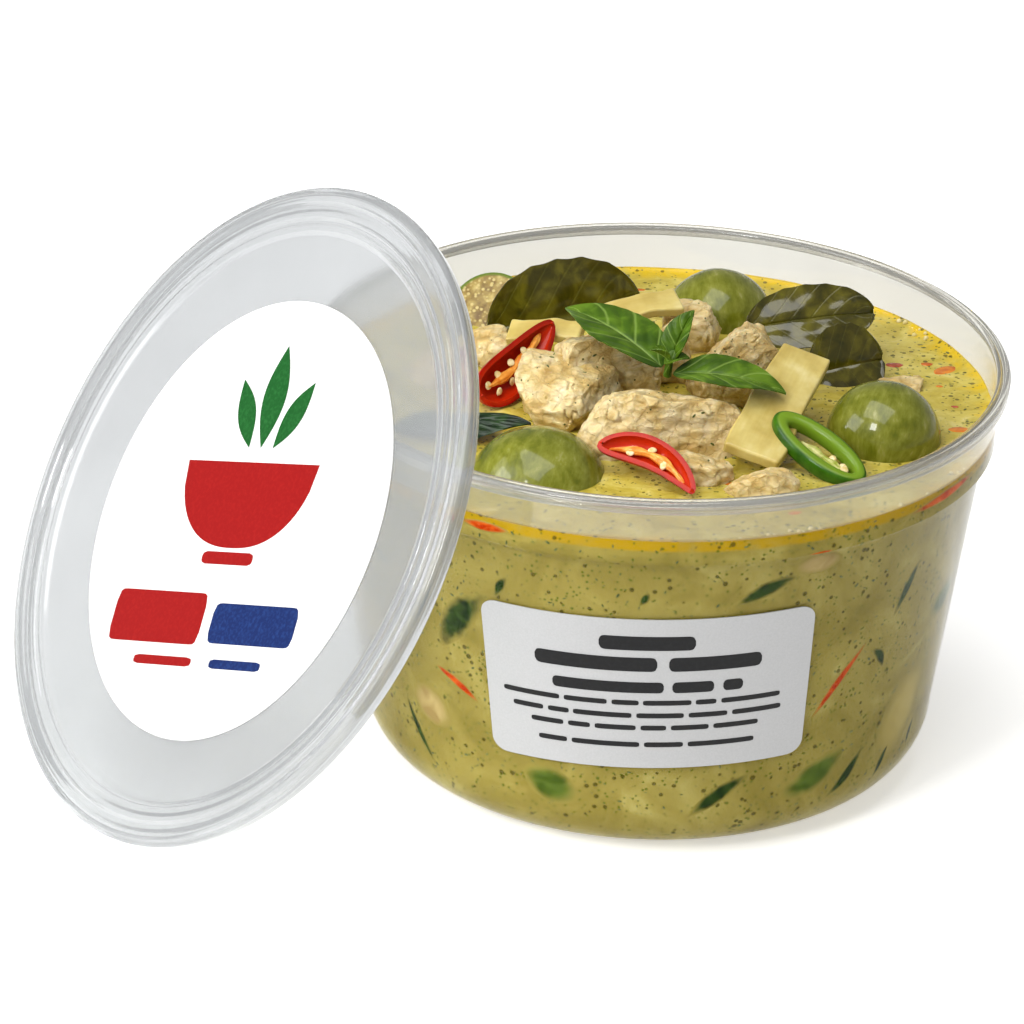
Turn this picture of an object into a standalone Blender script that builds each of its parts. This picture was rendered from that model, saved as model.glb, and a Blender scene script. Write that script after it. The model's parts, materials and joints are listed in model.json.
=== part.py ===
"""Thai green curry in a round clear catering tub, with the tub's lid leaning against its rim.

The frame's origin is the centre of the tub's flat base, +Z is up, and the tub's label faces -Y.
Sizes are in millimetres, turned into metres by MM.
"""

import math

import bmesh
import bpy
from mathutils import Matrix, Vector, noise

MM = 0.001
GAP = 0.35  # clearance between the curry and the tub's wall
PIECE_GAP = 0.45  # growth of a piece when it cuts what it rests in or on

# The tub: a tapered clear pot of about four litres
RIM_RADIUS = 118.0
TUB_HEIGHT = 141.6
WALL = 1.2
LIP_HEIGHT = 4.5
MOUTH_RADIUS = 113.2
COLLAR_RADIUS = 114.2
COLLAR_DRAFT = 0.5  # how much narrower the collar is at its foot
SHOULDER_HEIGHT = 116.0
SHOULDER_RADIUS = 110.4
CORNER_RADIUS = 23.4
FOOT_RADIUS = 96.9
TURNED_STEPS = 36
CORNER_STEPS = 4
AXIS_WELD = 0.00002  # metres: points of a turned profile that meet on the axis
CURVE_WELD = 0.00001  # metres: the caps of a curve
FLAT_ANGLE = math.radians(1.0)  # faces closer than this to one plane are made one
SHARP_ANGLE = math.radians(40)

# The curry
LEVEL = 125.7

# The label on the tub's front
LABEL_HALF_WIDTH = 53.0
LABEL_TOP = 95.0
LABEL_BOTTOM = 37.0
LABEL_CORNER = 5.0
LABEL_TURN = math.radians(1.6)
LABEL_THICK = 0.35
LABEL_OFF = 0.3  # how far it stands off the wall
LABEL_STEPS = 60

# The lid, and the way it leans
LID_RADIUS = 115.5
LID_SKIRT = 4.0
LID_CENTRE = Vector((-137.84, -50.74, 100.4))
LID_AZIMUTH = math.radians(-149.0)
LID_ELEVATION = math.radians(31.0)
STICKER_RADIUS = 76.8
STICKER_OFFSET = Vector((2.3, -1.0, 0.7))  # across and up the lid's face, and off its middle plane

# Garnish shapes shared by several pieces
AUBERGINE_SQUASH = 0.98
FLAT_FACE_BULGE = 0.12
CHICKEN_ROUNDNESS = 0.72
CHICKEN_UNEVENNESS = 0.48
BAMBOO_TAPER = 0.08
BAMBOO_EDGE = 0.6
CHILLI_TAPER = 0.35
CHILLI_FLAT_SIDE = 0.15
RING_TUBE = 0.2  # tube radius of the torus that the chilli ring starts from, whose own radius is 1
RING_DEPTH = 1.3  # how much deeper the ring's wall is than wide
STEM_SIZE = Vector((3.6, 3.2, 4.6))

COLOURS = {
    "clear_plastic": (0.90, 0.91, 0.90, 0.30),
    "label_paper": (0.90, 0.90, 0.91, 1.0),
    "curry_sauce": (0.50, 0.47, 0.16, 1.0),
    "chicken": (0.72, 0.57, 0.38, 1.0),
    "aubergine": (0.25, 0.33, 0.13, 1.0),
    "aubergine_flesh": (0.42, 0.33, 0.16, 1.0),
    "lime_leaf": (0.05, 0.06, 0.02, 1.0),
    "cooked_basil": (0.02, 0.05, 0.02, 1.0),
    "bamboo": (0.66, 0.54, 0.27, 1.0),
    "red_chilli": (0.60, 0.03, 0.01, 1.0),
    "green_chilli": (0.08, 0.27, 0.03, 1.0),
    "basil": (0.09, 0.30, 0.05, 1.0),
}


def clear_scene():
    for obj in list(bpy.data.objects):
        bpy.data.objects.remove(obj, do_unlink=True)


def new_collection(name):
    collection = bpy.data.collections.new(name)
    bpy.context.scene.collection.children.link(collection)
    return collection


def material(name, roughness=0.4):
    made = bpy.data.materials.get(name)
    if made:
        return made
    made = bpy.data.materials.new(name)
    made.use_nodes = True
    shader = made.node_tree.nodes["Principled BSDF"]
    shader.inputs["Base Color"].default_value = COLOURS[name]
    shader.inputs["Alpha"].default_value = COLOURS[name][3]
    shader.inputs["Roughness"].default_value = roughness
    shader.inputs["Metallic"].default_value = 0.0
    return made


def add_object(name, mesh, collection, material_name):
    obj = bpy.data.objects.new(name, mesh)
    collection.objects.link(obj)
    mesh.materials.clear()
    mesh.materials.append(material(material_name))
    return obj


def mesh_of(shape, name):
    mesh = bpy.data.meshes.new(name)
    shape.to_mesh(mesh)
    shape.free()
    return mesh


def arc(centre, radius, start, end, steps):
    """Points on an arc in the profile's plane, angles in degrees."""
    points = []
    for i in range(steps + 1):
        angle = math.radians(start + (end - start) * i / steps)
        points.append((centre[0] + radius * math.cos(angle), centre[1] + radius * math.sin(angle)))
    return points


def turned(name, profile, collection, material_name, steps=TURNED_STEPS):
    """A closed profile of (radius, height) points that starts and ends on the axis, turned about Z."""
    shape = bmesh.new()
    ring = [shape.verts.new((r * MM, 0.0, z * MM)) for r, z in profile]
    for first, second in zip(ring, ring[1:]):
        shape.edges.new((first, second))
    obj = add_object(name, mesh_of(shape, name), collection, material_name)
    screw = obj.modifiers.new("Turn", "SCREW")
    screw.axis = "Z"
    screw.steps = screw.render_steps = steps
    screw.use_merge_vertices = True
    screw.merge_threshold = AXIS_WELD
    return obj


def wall_radius(height):
    """Outer radius of the tub's tapered wall at this height."""
    share = (height - CORNER_RADIUS) / (SHOULDER_HEIGHT - CORNER_RADIUS)
    return FOOT_RADIUS + share * (SHOULDER_RADIUS - FOOT_RADIUS)


def tub_outside():
    """The outer profile from the rim's top down to the axis."""
    flat = FOOT_RADIUS - CORNER_RADIUS
    under_lip = TUB_HEIGHT - LIP_HEIGHT
    return [
        (MOUTH_RADIUS + 0.4, TUB_HEIGHT),
        (RIM_RADIUS - 1.0, TUB_HEIGHT),
        (RIM_RADIUS, TUB_HEIGHT - 1.0),
        (RIM_RADIUS, under_lip + 0.4),
        (RIM_RADIUS - 0.5, under_lip),
        (COLLAR_RADIUS, under_lip),
        (COLLAR_RADIUS - COLLAR_DRAFT, SHOULDER_HEIGHT + 1.6),
        (SHOULDER_RADIUS + 1.2, SHOULDER_HEIGHT + 0.5),
        (SHOULDER_RADIUS, SHOULDER_HEIGHT - 1.0),
    ] + arc((flat, CORNER_RADIUS), CORNER_RADIUS, 0, -90, CORNER_STEPS) + [(0.0, 0.0)]


def tub_inside(inset):
    """The inner profile from the axis up to the mouth, moved in from the wall by inset."""
    flat = FOOT_RADIUS - CORNER_RADIUS
    radius = CORNER_RADIUS - WALL - inset
    return [(0.0, WALL + inset)] + arc((flat, CORNER_RADIUS), radius, -90, 0, CORNER_STEPS) + [
        (SHOULDER_RADIUS - WALL - inset, SHOULDER_HEIGHT - 0.6),
        (COLLAR_RADIUS - COLLAR_DRAFT - WALL - inset, SHOULDER_HEIGHT + 2.4),
    ]


def make_tub(parts):
    mouth = [(MOUTH_RADIUS - 0.3, TUB_HEIGHT - LIP_HEIGHT), (MOUTH_RADIUS, TUB_HEIGHT - 0.4)]
    return turned("tub", tub_inside(0.0) + mouth + tub_outside(), parts, "clear_plastic")


def make_curry(parts):
    under = tub_inside(GAP)
    top_radius = COLLAR_RADIUS - COLLAR_DRAFT - WALL - GAP
    profile = [(0.0, LEVEL), (top_radius + 0.1, LEVEL)] + under[::-1]
    return turned("curry", profile, parts, "curry_sauce")


def lid_profile():
    """(radius, height) points: the front from the axis out over two steps, a groove and the bead,
    down the skirt, and back along the underside."""
    front = [
        (0.0, 0.4), (99.0, 0.4), (100.4, 1.3), (103.6, 1.3), (104.4, 2.3), (107.4, 2.3),
        (108.6, 1.8), (110.2, 2.7), (113.6, 2.7), (LID_RADIUS, 1.2), (LID_RADIUS, -0.8), (114.2, -LID_SKIRT),
    ]
    back = [
        (113.0, -LID_SKIRT), (113.5, 0.6), (112.6, 1.5), (110.4, 1.5), (108.9, 0.5),
        (105.0, 1.1), (104.0, 0.1), (100.9, 0.1), (99.3, -0.8), (0.0, -0.8),
    ]
    return front + back


def lid_matrix():
    """The lid's own frame: its face outwards as Z, level to the right as X."""
    normal = Vector((
        math.cos(LID_ELEVATION) * math.cos(LID_AZIMUTH),
        math.cos(LID_ELEVATION) * math.sin(LID_AZIMUTH),
        math.sin(LID_ELEVATION),
    ))
    across = Vector((0.0, 0.0, 1.0)).cross(normal).normalized()
    up = normal.cross(across)
    turn = Matrix((across, up, normal)).transposed().to_4x4()
    return Matrix.Translation(LID_CENTRE * MM) @ turn


def make_lid(parts):
    lid = turned("lid", lid_profile(), parts, "clear_plastic")
    lid.matrix_world = lid_matrix()
    sticker_profile = [(0.0, LABEL_THICK), (STICKER_RADIUS, LABEL_THICK), (STICKER_RADIUS, 0.0), (0.0, 0.0)]
    sticker = turned("lid_label", sticker_profile, parts, "label_paper")
    sticker.matrix_world = lid_matrix() @ Matrix.Translation(STICKER_OFFSET * MM)


def make_tub_label(parts, cutters):
    """A band of the wall's cone just off its surface, cut to a rounded rectangle."""
    margin = LABEL_CORNER
    low, high = LABEL_BOTTOM - margin, LABEL_TOP + margin
    near, far = LABEL_OFF, LABEL_OFF + LABEL_THICK
    ring = [
        (wall_radius(high) + near, high), (wall_radius(high) + far, high),
        (wall_radius(low) + far, low), (wall_radius(low) + near, low),
        (wall_radius(high) + near, high),
    ]
    label = turned("tub_label", ring, parts, "label_paper", steps=LABEL_STEPS)
    cutter = rounded_plate("label_outline", cutters)
    cutter.location = (0.0, -RIM_RADIUS * MM, 0.5 * (LABEL_TOP + LABEL_BOTTOM) * MM)
    cutter.rotation_euler = (math.radians(90), -LABEL_TURN, 0.0)
    trim = label.modifiers.new("Outline", "BOOLEAN")
    trim.operation = "INTERSECT"
    trim.object = cutter


def rounded_plate(name, cutters):
    """A flat curve outline with round corners, thick enough to cut the label's band."""
    half_height = 0.5 * (LABEL_TOP - LABEL_BOTTOM)
    outline = []
    for corner, start in (((1, 1), 0), ((-1, 1), 90), ((-1, -1), 180), ((1, -1), 270)):
        centre = (
            corner[0] * (LABEL_HALF_WIDTH - LABEL_CORNER),
            corner[1] * (half_height - LABEL_CORNER),
        )
        outline += arc(centre, LABEL_CORNER, start, start + 90, 4)
    curve = bpy.data.curves.new(name, "CURVE")
    curve.dimensions = "2D"
    curve.fill_mode = "BOTH"
    curve.extrude = 0.5 * RIM_RADIUS * MM
    spline = curve.splines.new("POLY")
    spline.points.add(len(outline) - 1)
    for point, (x, y) in zip(spline.points, outline):
        point.co = (x * MM, y * MM, 0.0, 1.0)
    spline.use_cyclic_u = True
    guide = bpy.data.objects.new(name + "_curve", curve)
    cutters.objects.link(guide)
    return as_mesh_object(guide, name, cutters)


def as_mesh_object(source, name, collection):
    """Turns a curve object into a welded mesh object of this name, and removes the curve."""
    bpy.context.view_layer.update()
    graph = bpy.context.evaluated_depsgraph_get()
    mesh = bpy.data.meshes.new_from_object(source.evaluated_get(graph))
    shape = bmesh.new()
    shape.from_mesh(mesh)
    bmesh.ops.remove_doubles(shape, verts=shape.verts, dist=CURVE_WELD)
    bmesh.ops.recalc_face_normals(shape, faces=shape.faces)
    shape.to_mesh(mesh)
    shape.free()
    made = bpy.data.objects.new(name, mesh)
    made.matrix_world = source.matrix_world
    collection.objects.link(made)
    bpy.data.objects.remove(source, do_unlink=True)
    hide_helper(made)
    return made


def hide_helper(obj):
    obj.hide_render = True
    obj.display_type = "WIRE"


def place(obj, centre, turn):
    """Puts an object at a centre in millimetres, turned by degrees about X, Y and Z."""
    obj.location = Vector(centre) * MM
    obj.rotation_euler = [math.radians(angle) for angle in turn]
    return obj


def chunk(name, size, seed, parts):
    """A torn piece of cooked chicken: a rounded block, uneven by a smooth noise that its seed shifts."""
    shape = bmesh.new()
    bmesh.ops.create_cube(shape, size=2.0)
    bmesh.ops.subdivide_edges(shape, edges=shape.edges, cuts=2, use_grid_fill=True)
    for vert in shape.verts:
        direction = vert.co.normalized()
        rounded = vert.co.lerp(direction, CHICKEN_ROUNDNESS)
        uneven = noise.noise(direction * 1.3 + Vector((seed * 3.1, seed * 1.7, seed * 0.9)))
        rounded *= 1.0 + CHICKEN_UNEVENNESS * uneven
        vert.co = Vector((rounded.x * size[0], rounded.y * size[1], rounded.z * size[2])) * 0.5 * MM
    return add_object(name, mesh_of(shape, name), parts, "chicken")


def aubergine(name, radius, parts, flat_face=False):
    """A round green aubergine, a little squashed, or a cut half with its flat face up."""
    shape = bmesh.new()
    bmesh.ops.create_uvsphere(shape, u_segments=12, v_segments=7, radius=radius * MM)
    for vert in shape.verts:
        vert.co.z *= AUBERGINE_SQUASH
        if flat_face and vert.co.z > 0.0:
            vert.co.z *= FLAT_FACE_BULGE
    return add_object(name, mesh_of(shape, name), parts, "aubergine_flesh" if flat_face else "aubergine")


def leaf_blade(name, length, width, shape_of, parts, material_name, thick=0.8, columns=4, rows=7):
    """A leaf made from a grid: shape_of gives (half width share, x, z) for a place along and across it."""
    shape = bmesh.new()
    bmesh.ops.create_grid(shape, x_segments=rows, y_segments=columns, size=1.0)
    for vert in shape.verts:
        along = 0.5 * (vert.co.x + 1.0)
        across = vert.co.y
        share, lift = shape_of(along, across)
        vert.co = Vector((along * length, across * share * 0.5 * width, lift)) * MM
    obj = add_object(name, mesh_of(shape, name), parts, material_name)
    skin = obj.modifiers.new("Thickness", "SOLIDIFY")
    skin.thickness = thick * MM
    skin.offset = 0.0
    return obj


def basil_form(fold, droop, ripple):
    """A pointed oval blade with a folded middle line and a curved length."""
    def form(along, across):
        share = 0.05 + 0.95 * math.sin(math.pi * along ** 0.8) ** 0.8
        lift = fold * abs(across) * math.sin(math.pi * along) - droop * (2 * along - 1) ** 2
        return share, lift + ripple * math.sin(9.0 * along) * across * across
    return form


def lime_form(fold, curl):
    """A broad blade with round ends."""
    def form(along, across):
        share = max(0.12, math.sqrt(1.0 - abs(2.0 * along - 1.0) ** 2.2))
        return share, fold * abs(across) - curl * (2 * along - 1) ** 2
    return form


def slab(name, length, width, thick, bend, parts):
    """A cut strip of bamboo shoot: a bevelled bar, slightly bowed, a little narrower at one end."""
    shape = bmesh.new()
    bmesh.ops.create_cube(shape, size=1.0)
    along_edges = [edge for edge in shape.edges if abs(edge.verts[0].co.x - edge.verts[1].co.x) > 0.5]
    bmesh.ops.subdivide_edges(shape, edges=along_edges, cuts=4)
    for vert in shape.verts:
        place_along = 2.0 * vert.co.x
        taper = 1.0 - BAMBOO_TAPER * place_along
        bow = bend * (1.0 - place_along ** 2)
        vert.co = Vector((vert.co.x * length, vert.co.y * width * taper, vert.co.z * thick + bow)) * MM
    obj = add_object(name, mesh_of(shape, name), parts, "bamboo")
    bevel = obj.modifiers.new("Soft edges", "BEVEL")
    bevel.width = BAMBOO_EDGE * MM
    bevel.limit_method = "ANGLE"
    return obj


def chilli_half(name, length, width, depth, bow, parts):
    """Half of a chilli cut lengthways: round below, flat above, pointed at one end and bowed sideways."""
    shape = bmesh.new()
    bmesh.ops.create_uvsphere(shape, u_segments=12, v_segments=6, radius=1.0)
    bmesh.ops.rotate(shape, verts=shape.verts, matrix=Matrix.Rotation(math.radians(90), 3, "Y"))
    for vert in shape.verts:
        along = vert.co.x
        taper = 1.0 - CHILLI_TAPER * along
        height = vert.co.z if vert.co.z < 0.0 else CHILLI_FLAT_SIDE * vert.co.z
        side = bow * (1.0 - along ** 2)
        vert.co = Vector((
            along * 0.5 * length,
            vert.co.y * 0.5 * width * taper + side,
            height * depth * taper,
        )) * MM
    return add_object(name, mesh_of(shape, name), parts, "red_chilli")


def chilli_ring(name, length, width, tube, parts):
    """A slanting slice of green chilli: a long loop of its wall, from a torus stretched to its size."""
    bpy.ops.mesh.primitive_torus_add(
        major_segments=16, minor_segments=6, major_radius=1.0, minor_radius=RING_TUBE,
    )
    obj = bpy.context.active_object
    mesh = obj.data
    for vert in mesh.vertices:
        radial = math.hypot(vert.co.x, vert.co.y)
        direction = Vector((vert.co.x, vert.co.y)) / radial
        out = (radial - 1.0) / RING_TUBE * tube
        vert.co = Vector((
            direction.x * (0.5 * length - tube + out),
            direction.y * (0.5 * width - tube + out),
            vert.co.z / RING_TUBE * tube * RING_DEPTH,
        )) * MM
    bpy.data.objects.remove(obj, do_unlink=True)
    return add_object(name, mesh, parts, "green_chilli")


def stem_tip(name, parts):
    """The sprig's short stem with the bud at its top."""
    shape = bmesh.new()
    bmesh.ops.create_uvsphere(shape, u_segments=10, v_segments=6, radius=1.0)
    for vert in shape.verts:
        vert.co = vert.co * STEM_SIZE * MM
    return add_object(name, mesh_of(shape, name), parts, "basil")


def settle(obj):
    """Replaces an object's mesh by its evaluated shape in the frame, welded and clean."""
    bpy.context.view_layer.update()
    graph = bpy.context.evaluated_depsgraph_get()
    mesh = bpy.data.meshes.new_from_object(obj.evaluated_get(graph))
    mesh.transform(obj.matrix_world)
    shape = bmesh.new()
    shape.from_mesh(mesh)
    keep_largest_body(shape)
    bmesh.ops.dissolve_limit(shape, angle_limit=FLAT_ANGLE, verts=shape.verts, edges=shape.edges)
    bmesh.ops.triangulate(shape, faces=shape.faces)
    bmesh.ops.recalc_face_normals(shape, faces=shape.faces)
    shape.to_mesh(mesh)
    shape.free()
    obj.modifiers.clear()
    obj.matrix_world = Matrix.Identity(4)
    obj.data = mesh
    return obj


def keep_largest_body(shape):
    """Deletes the loose crumbs that a cut leaves, keeping the body with the most points."""
    left = set(shape.verts)
    bodies = []
    while left:
        body, front = set(), [left.pop()]
        while front:
            vert = front.pop()
            body.add(vert)
            for edge in vert.link_edges:
                other = edge.other_vert(vert)
                if other in left:
                    left.discard(other)
                    front.append(other)
        bodies.append(body)
    bodies.sort(key=len)
    for body in bodies[:-1]:
        bmesh.ops.delete(shape, geom=list(body), context="VERTS")


def swollen_copy(obj, cutters):
    """A helper that is the settled object grown by the gap, to cut what lies under it."""
    mesh = obj.data.copy()
    shape = bmesh.new()
    shape.from_mesh(mesh)
    shape.normal_update()
    for vert, normal in [(vert, vert.normal.copy()) for vert in shape.verts]:
        vert.co += normal * PIECE_GAP * MM
    shape.to_mesh(mesh)
    shape.free()
    helper = bpy.data.objects.new(obj.name + "_clearance", mesh)
    cutters.objects.link(helper)
    hide_helper(helper)
    return helper


def box_of(obj):
    corners = [vert.co for vert in obj.data.vertices]
    low = Vector([min(corner[i] for corner in corners) for i in range(3)])
    high = Vector([max(corner[i] for corner in corners) for i in range(3)])
    return low, high


def boxes_meet(first, second):
    low_a, high_a = box_of(first)
    low_b, high_b = box_of(second)
    return all(low_a[i] < high_b[i] and low_b[i] < high_a[i] for i in range(3))


def cut(obj, helper, operation="DIFFERENCE"):
    """Cuts with the manifold solver: the exact one loses the body where a thin leaf only grazes it."""
    modifier = obj.modifiers.new(helper.name, "BOOLEAN")
    modifier.solver = "MANIFOLD"
    modifier.operation = operation
    modifier.object = helper


def make_sprig(parts, cutters):
    """The fresh basil sprig: three leaves and a bud, joined into one body."""
    sprig = place(stem_tip("basil_sprig", parts), (3.0, -27.0, LEVEL + 24.0), (0, 0, 0))
    blades = (
        (44.0, 25.0, basil_form(2.5, 3.0, 0.8), (1.0, -26.0, LEVEL + 26.5), (0, -10, 139)),
        (38.0, 19.0, basil_form(2.2, 3.0, 0.6), (5.0, -29.0, LEVEL + 25.5), (8, 7, -4)),
        (19.0, 10.0, basil_form(3.0, 1.0, 0.3), (3.0, -26.0, LEVEL + 26.0), (0, -52, 52)),
    )
    for number, (length, width, form, centre, turn) in enumerate(blades):
        name = f"sprig_leaf_{number}"
        blade = leaf_blade(name, length, width, form, cutters, "basil", columns=2, rows=6)
        place(blade, centre, turn)
        hide_helper(blade)
        cut(sprig, blade, "UNION")
    return sprig


def make_garnish(parts, cutters):
    """Everything that lies in or on the curry, from the top of the heap down.
    Each piece has its size, then its centre and its turn in degrees."""
    rest = LEVEL
    lime = lime_form(2.0, 2.0)
    return [
        make_sprig(parts, cutters),
        place(chilli_ring("green_chilli", 38.0, 17.0, 2.4, parts), (54, -50, rest + 6.0), (14, 22, -34)),
        place(chilli_half("red_chilli_back", 46.0, 16.0, 6.0, -2.0, parts),
              (-48, 2, rest + 12.0), (58, -16, 58)),
        place(chilli_half("red_chilli_front", 40.0, 12.0, 5.0, 5.5, parts),
              (-3, -67, rest + 5.5), (30, 10, -35)),
        place(slab("bamboo_front", 58.0, 19.0, 4.5, 1.0, parts), (40, -29, rest + 12.5), (14, -15, 72)),
        place(slab("bamboo_left", 26.0, 9.0, 4.0, 1.0, parts), (-39, 25, rest + 12.0), (20, -8, -14)),
        place(slab("bamboo_back", 32.0, 11.0, 4.0, 1.2, parts), (-9, 37, rest + 16.0), (20, -8, 22)),
        place(leaf_blade("lime_leaf_left", 56.0, 40.0, lime, parts, "lime_leaf"),
              (-59, 50, rest + 1.5), (66, -4, 22)),
        place(leaf_blade("lime_leaf_right", 44.0, 24.0, lime, parts, "lime_leaf"),
              (29, 38, rest + 12.0), (42, -6, 9)),
        place(leaf_blade("lime_leaf_small", 26.0, 30.0, lime, parts, "lime_leaf"),
              (51, 20, rest + 3.0), (62, -8, 16)),
        place(leaf_blade("cooked_basil", 46.0, 15.0, basil_form(-2.0, 3.0, 1.0), parts, "cooked_basil"),
              (-88, -36, rest + 3.0), (10, -3, -3)),
        place(aubergine("aubergine_front", 25.0, parts), (-38.5, -57.0, rest - 12.0), (0, 0, 0)),
        place(aubergine("aubergine_right", 19.5, parts), (75.5, -23.0, rest), (0, 0, 0)),
        place(aubergine("aubergine_back", 19.4, parts), (19.6, 78.5, rest - 4.5), (0, 0, 0)),
        place(aubergine("aubergine_half", 14.0, parts, flat_face=True),
              (-59, 64, rest + 3.5), (40, -14, 0)),
        place(chunk("chicken_peak", (30, 26, 34), 4, parts), (26, 5, rest + 9.0), (0, 8, 20)),
        place(chunk("chicken_top", (34, 28, 30), 3, parts), (-18, 2, rest + 10.0), (0, 0, 25)),
        place(chunk("chicken_middle", (18, 17, 26), 6, parts), (3, 19, rest + 8.0), (0, 0, 0)),
        place(chunk("chicken_large", (54, 26, 30), 1, parts), (1, -38, rest + 5.0), (-14, 0, 8)),
        place(chunk("chicken_left", (34, 34, 28), 2, parts), (-31, -13, rest + 4.0), (0, 0, -20)),
        place(chunk("chicken_back", (24, 17, 22), 5, parts), (10, 49, rest + 6.0), (0, 0, 10)),
        place(chunk("chicken_far_left", (19, 18, 18), 7, parts), (-57, 31, rest + 2.0), (0, 0, 0)),
        place(chunk("chicken_near", (20, 15, 15), 8, parts), (16, -60, rest + 0.5), (0, 0, 0)),
        place(chunk("chicken_rim", (23, 13, 14), 9, parts), (34, -70, rest + 0.5), (0, 0, -10)),
        place(chunk("chicken_right", (20, 14, 12), 10, parts), (82, 22, rest - 3.0), (0, 0, 5)),
        place(chunk("chicken_side", (17, 20, 18), 11, parts), (-76, 12, rest + 1.0), (0, 0, 0)),
    ]


def make_contents(parts, cutters):
    """Settles each piece under the ones above it, then cuts all of them out of the curry."""
    curry = settle(make_curry(parts))
    settled = []
    for piece in make_garnish(parts, cutters):
        settle(piece)
        swollen = swollen_copy(piece, cutters)
        for helper in settled:
            if boxes_meet(piece, helper):
                cut(piece, helper)
        settle(piece)
        settled.append(swollen)
    for helper in settled:
        if boxes_meet(curry, helper):
            cut(curry, helper)
    settle(curry)


def shade(parts):
    """Round pieces are smooth, and edges sharper than 40 degrees stay sharp."""
    for obj in parts.objects:
        obj.data.shade_smooth()
        obj.data.set_sharp_from_angle(angle=SHARP_ANGLE)


def main():
    clear_scene()
    parts = new_collection("thai_green_curry")
    cutters = new_collection("cutters")
    cutters.hide_render = True
    make_tub(parts)
    make_tub_label(parts, cutters)
    make_lid(parts)
    make_contents(parts, cutters)
    shade(parts)


main()
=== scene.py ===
"""Looks of the thai green curry: milky clear tub and lid, labels, sauce, and every piece of food."""

import json
import math
import random

import bpy
from mathutils import Matrix, Vector, noise

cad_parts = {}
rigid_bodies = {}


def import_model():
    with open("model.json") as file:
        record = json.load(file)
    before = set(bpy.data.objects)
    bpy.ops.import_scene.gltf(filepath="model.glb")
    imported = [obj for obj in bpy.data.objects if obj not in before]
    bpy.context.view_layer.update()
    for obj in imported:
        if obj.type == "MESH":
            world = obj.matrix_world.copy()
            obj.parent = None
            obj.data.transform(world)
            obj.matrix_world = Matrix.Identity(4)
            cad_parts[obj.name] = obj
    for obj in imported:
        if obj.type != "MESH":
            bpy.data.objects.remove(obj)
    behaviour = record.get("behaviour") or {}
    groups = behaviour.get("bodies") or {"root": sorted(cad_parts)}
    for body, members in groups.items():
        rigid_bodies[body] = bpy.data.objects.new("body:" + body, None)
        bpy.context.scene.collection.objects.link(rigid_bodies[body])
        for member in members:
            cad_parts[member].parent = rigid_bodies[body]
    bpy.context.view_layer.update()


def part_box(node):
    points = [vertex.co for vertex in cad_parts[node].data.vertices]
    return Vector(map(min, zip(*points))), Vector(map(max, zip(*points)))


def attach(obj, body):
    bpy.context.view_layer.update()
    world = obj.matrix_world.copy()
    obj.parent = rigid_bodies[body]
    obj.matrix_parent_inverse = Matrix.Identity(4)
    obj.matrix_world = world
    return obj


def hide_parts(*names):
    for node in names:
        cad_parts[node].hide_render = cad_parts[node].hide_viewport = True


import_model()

MM = 0.001
RIM_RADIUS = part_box("tub")[1].x / MM
TUB_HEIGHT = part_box("tub")[1].z / MM
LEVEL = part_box("curry")[1].z / MM

# The tub's wall, in millimetres
WALL = 1.2
LIP_HEIGHT = 4.5
MOUTH_RADIUS = 113.2
COLLAR_RADIUS = 114.2
SHOULDER_HEIGHT = 116.0
SHOULDER_RADIUS = 110.4
CORNER_RADIUS = 23.4
FOOT_RADIUS = 96.9
COLLAR_DRAFT = 0.5  # how much narrower the collar is at its foot
SHOULDER_BELOW = 0.6
SHOULDER_ABOVE = 2.4
INTO_WALL = 0.7  # how far the sauce reaches into the plastic, so that no air shows between them
TURN_STEPS = 192

# The label on the tub
LABEL_HALF_WIDTH = 53.0
LABEL_TOP = 95.0
LABEL_BOTTOM = 37.0
LABEL_CORNER = 5.0
LABEL_TURN = math.radians(1.6)
LABEL_OFF = 0.3
LABEL_THICK = 0.35

# The lid and its lean
LID_RADIUS = 115.5
LID_SKIRT = 4.0
LID_CENTRE = Vector((-137.84, -50.74, 100.4))
LID_AZIMUTH = math.radians(-149.0)
LID_ELEVATION = math.radians(31.0)
STICKER_RADIUS = 76.8
STICKER_OFFSET = Vector((2.3, -1.0))
STICKER_FACE = 1.05
PRINT_TURN = 21.6  # degrees by which the sticker is turned on the lid
PRINT_OFF = 0.06
SMOOTH_ANGLE = math.radians(50)
SENSOR_WIDTH = 36.0

# The camera, in metres and radians
CAMERA_PLACE = Vector((0.0, -2.46314, 1.21651))
CAMERA_YAW = -0.0195
CAMERA_PITCH = 0.4315
CAMERA_ROLL = 0.0312
CAMERA_LENS = 281.25


# ---------------------------------------------------------------- small helpers

def deselect():
    if bpy.context.object and bpy.context.object.mode != "OBJECT":
        bpy.ops.object.mode_set(mode="OBJECT")
    bpy.ops.object.select_all(action="DESELECT")


def pick(obj):
    deselect()
    obj.select_set(True)
    bpy.context.view_layer.objects.active = obj
    return obj


def new_from(operator, **settings):
    """Adds a primitive with nothing else selected and returns its object."""
    deselect()
    operator(**settings)
    return bpy.context.active_object


def finish_modifier(obj, kind, **settings):
    """Adds a modifier with these settings and applies it."""
    pick(obj)
    modifier = obj.modifiers.new(kind.title(), kind)
    for key, value in settings.items():
        setattr(modifier, key, value)
    bpy.ops.object.modifier_apply(modifier=modifier.name)
    return obj


def subdivide(cuts):
    """Splits every edge of the piece that was made or changed last."""
    bpy.ops.object.mode_set(mode="EDIT")
    bpy.ops.mesh.select_all(action="SELECT")
    bpy.ops.mesh.subdivide(number_cuts=cuts)
    bpy.ops.object.mode_set(mode="OBJECT")


def refine(obj, levels):
    return finish_modifier(obj, "SUBSURF", levels=levels, render_levels=levels)


def reshape(obj, move):
    """Moves every point of the mesh by a rule from its own place."""
    for vert in obj.data.vertices:
        vert.co = move(vert.co)
    obj.data.update()
    return obj


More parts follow.
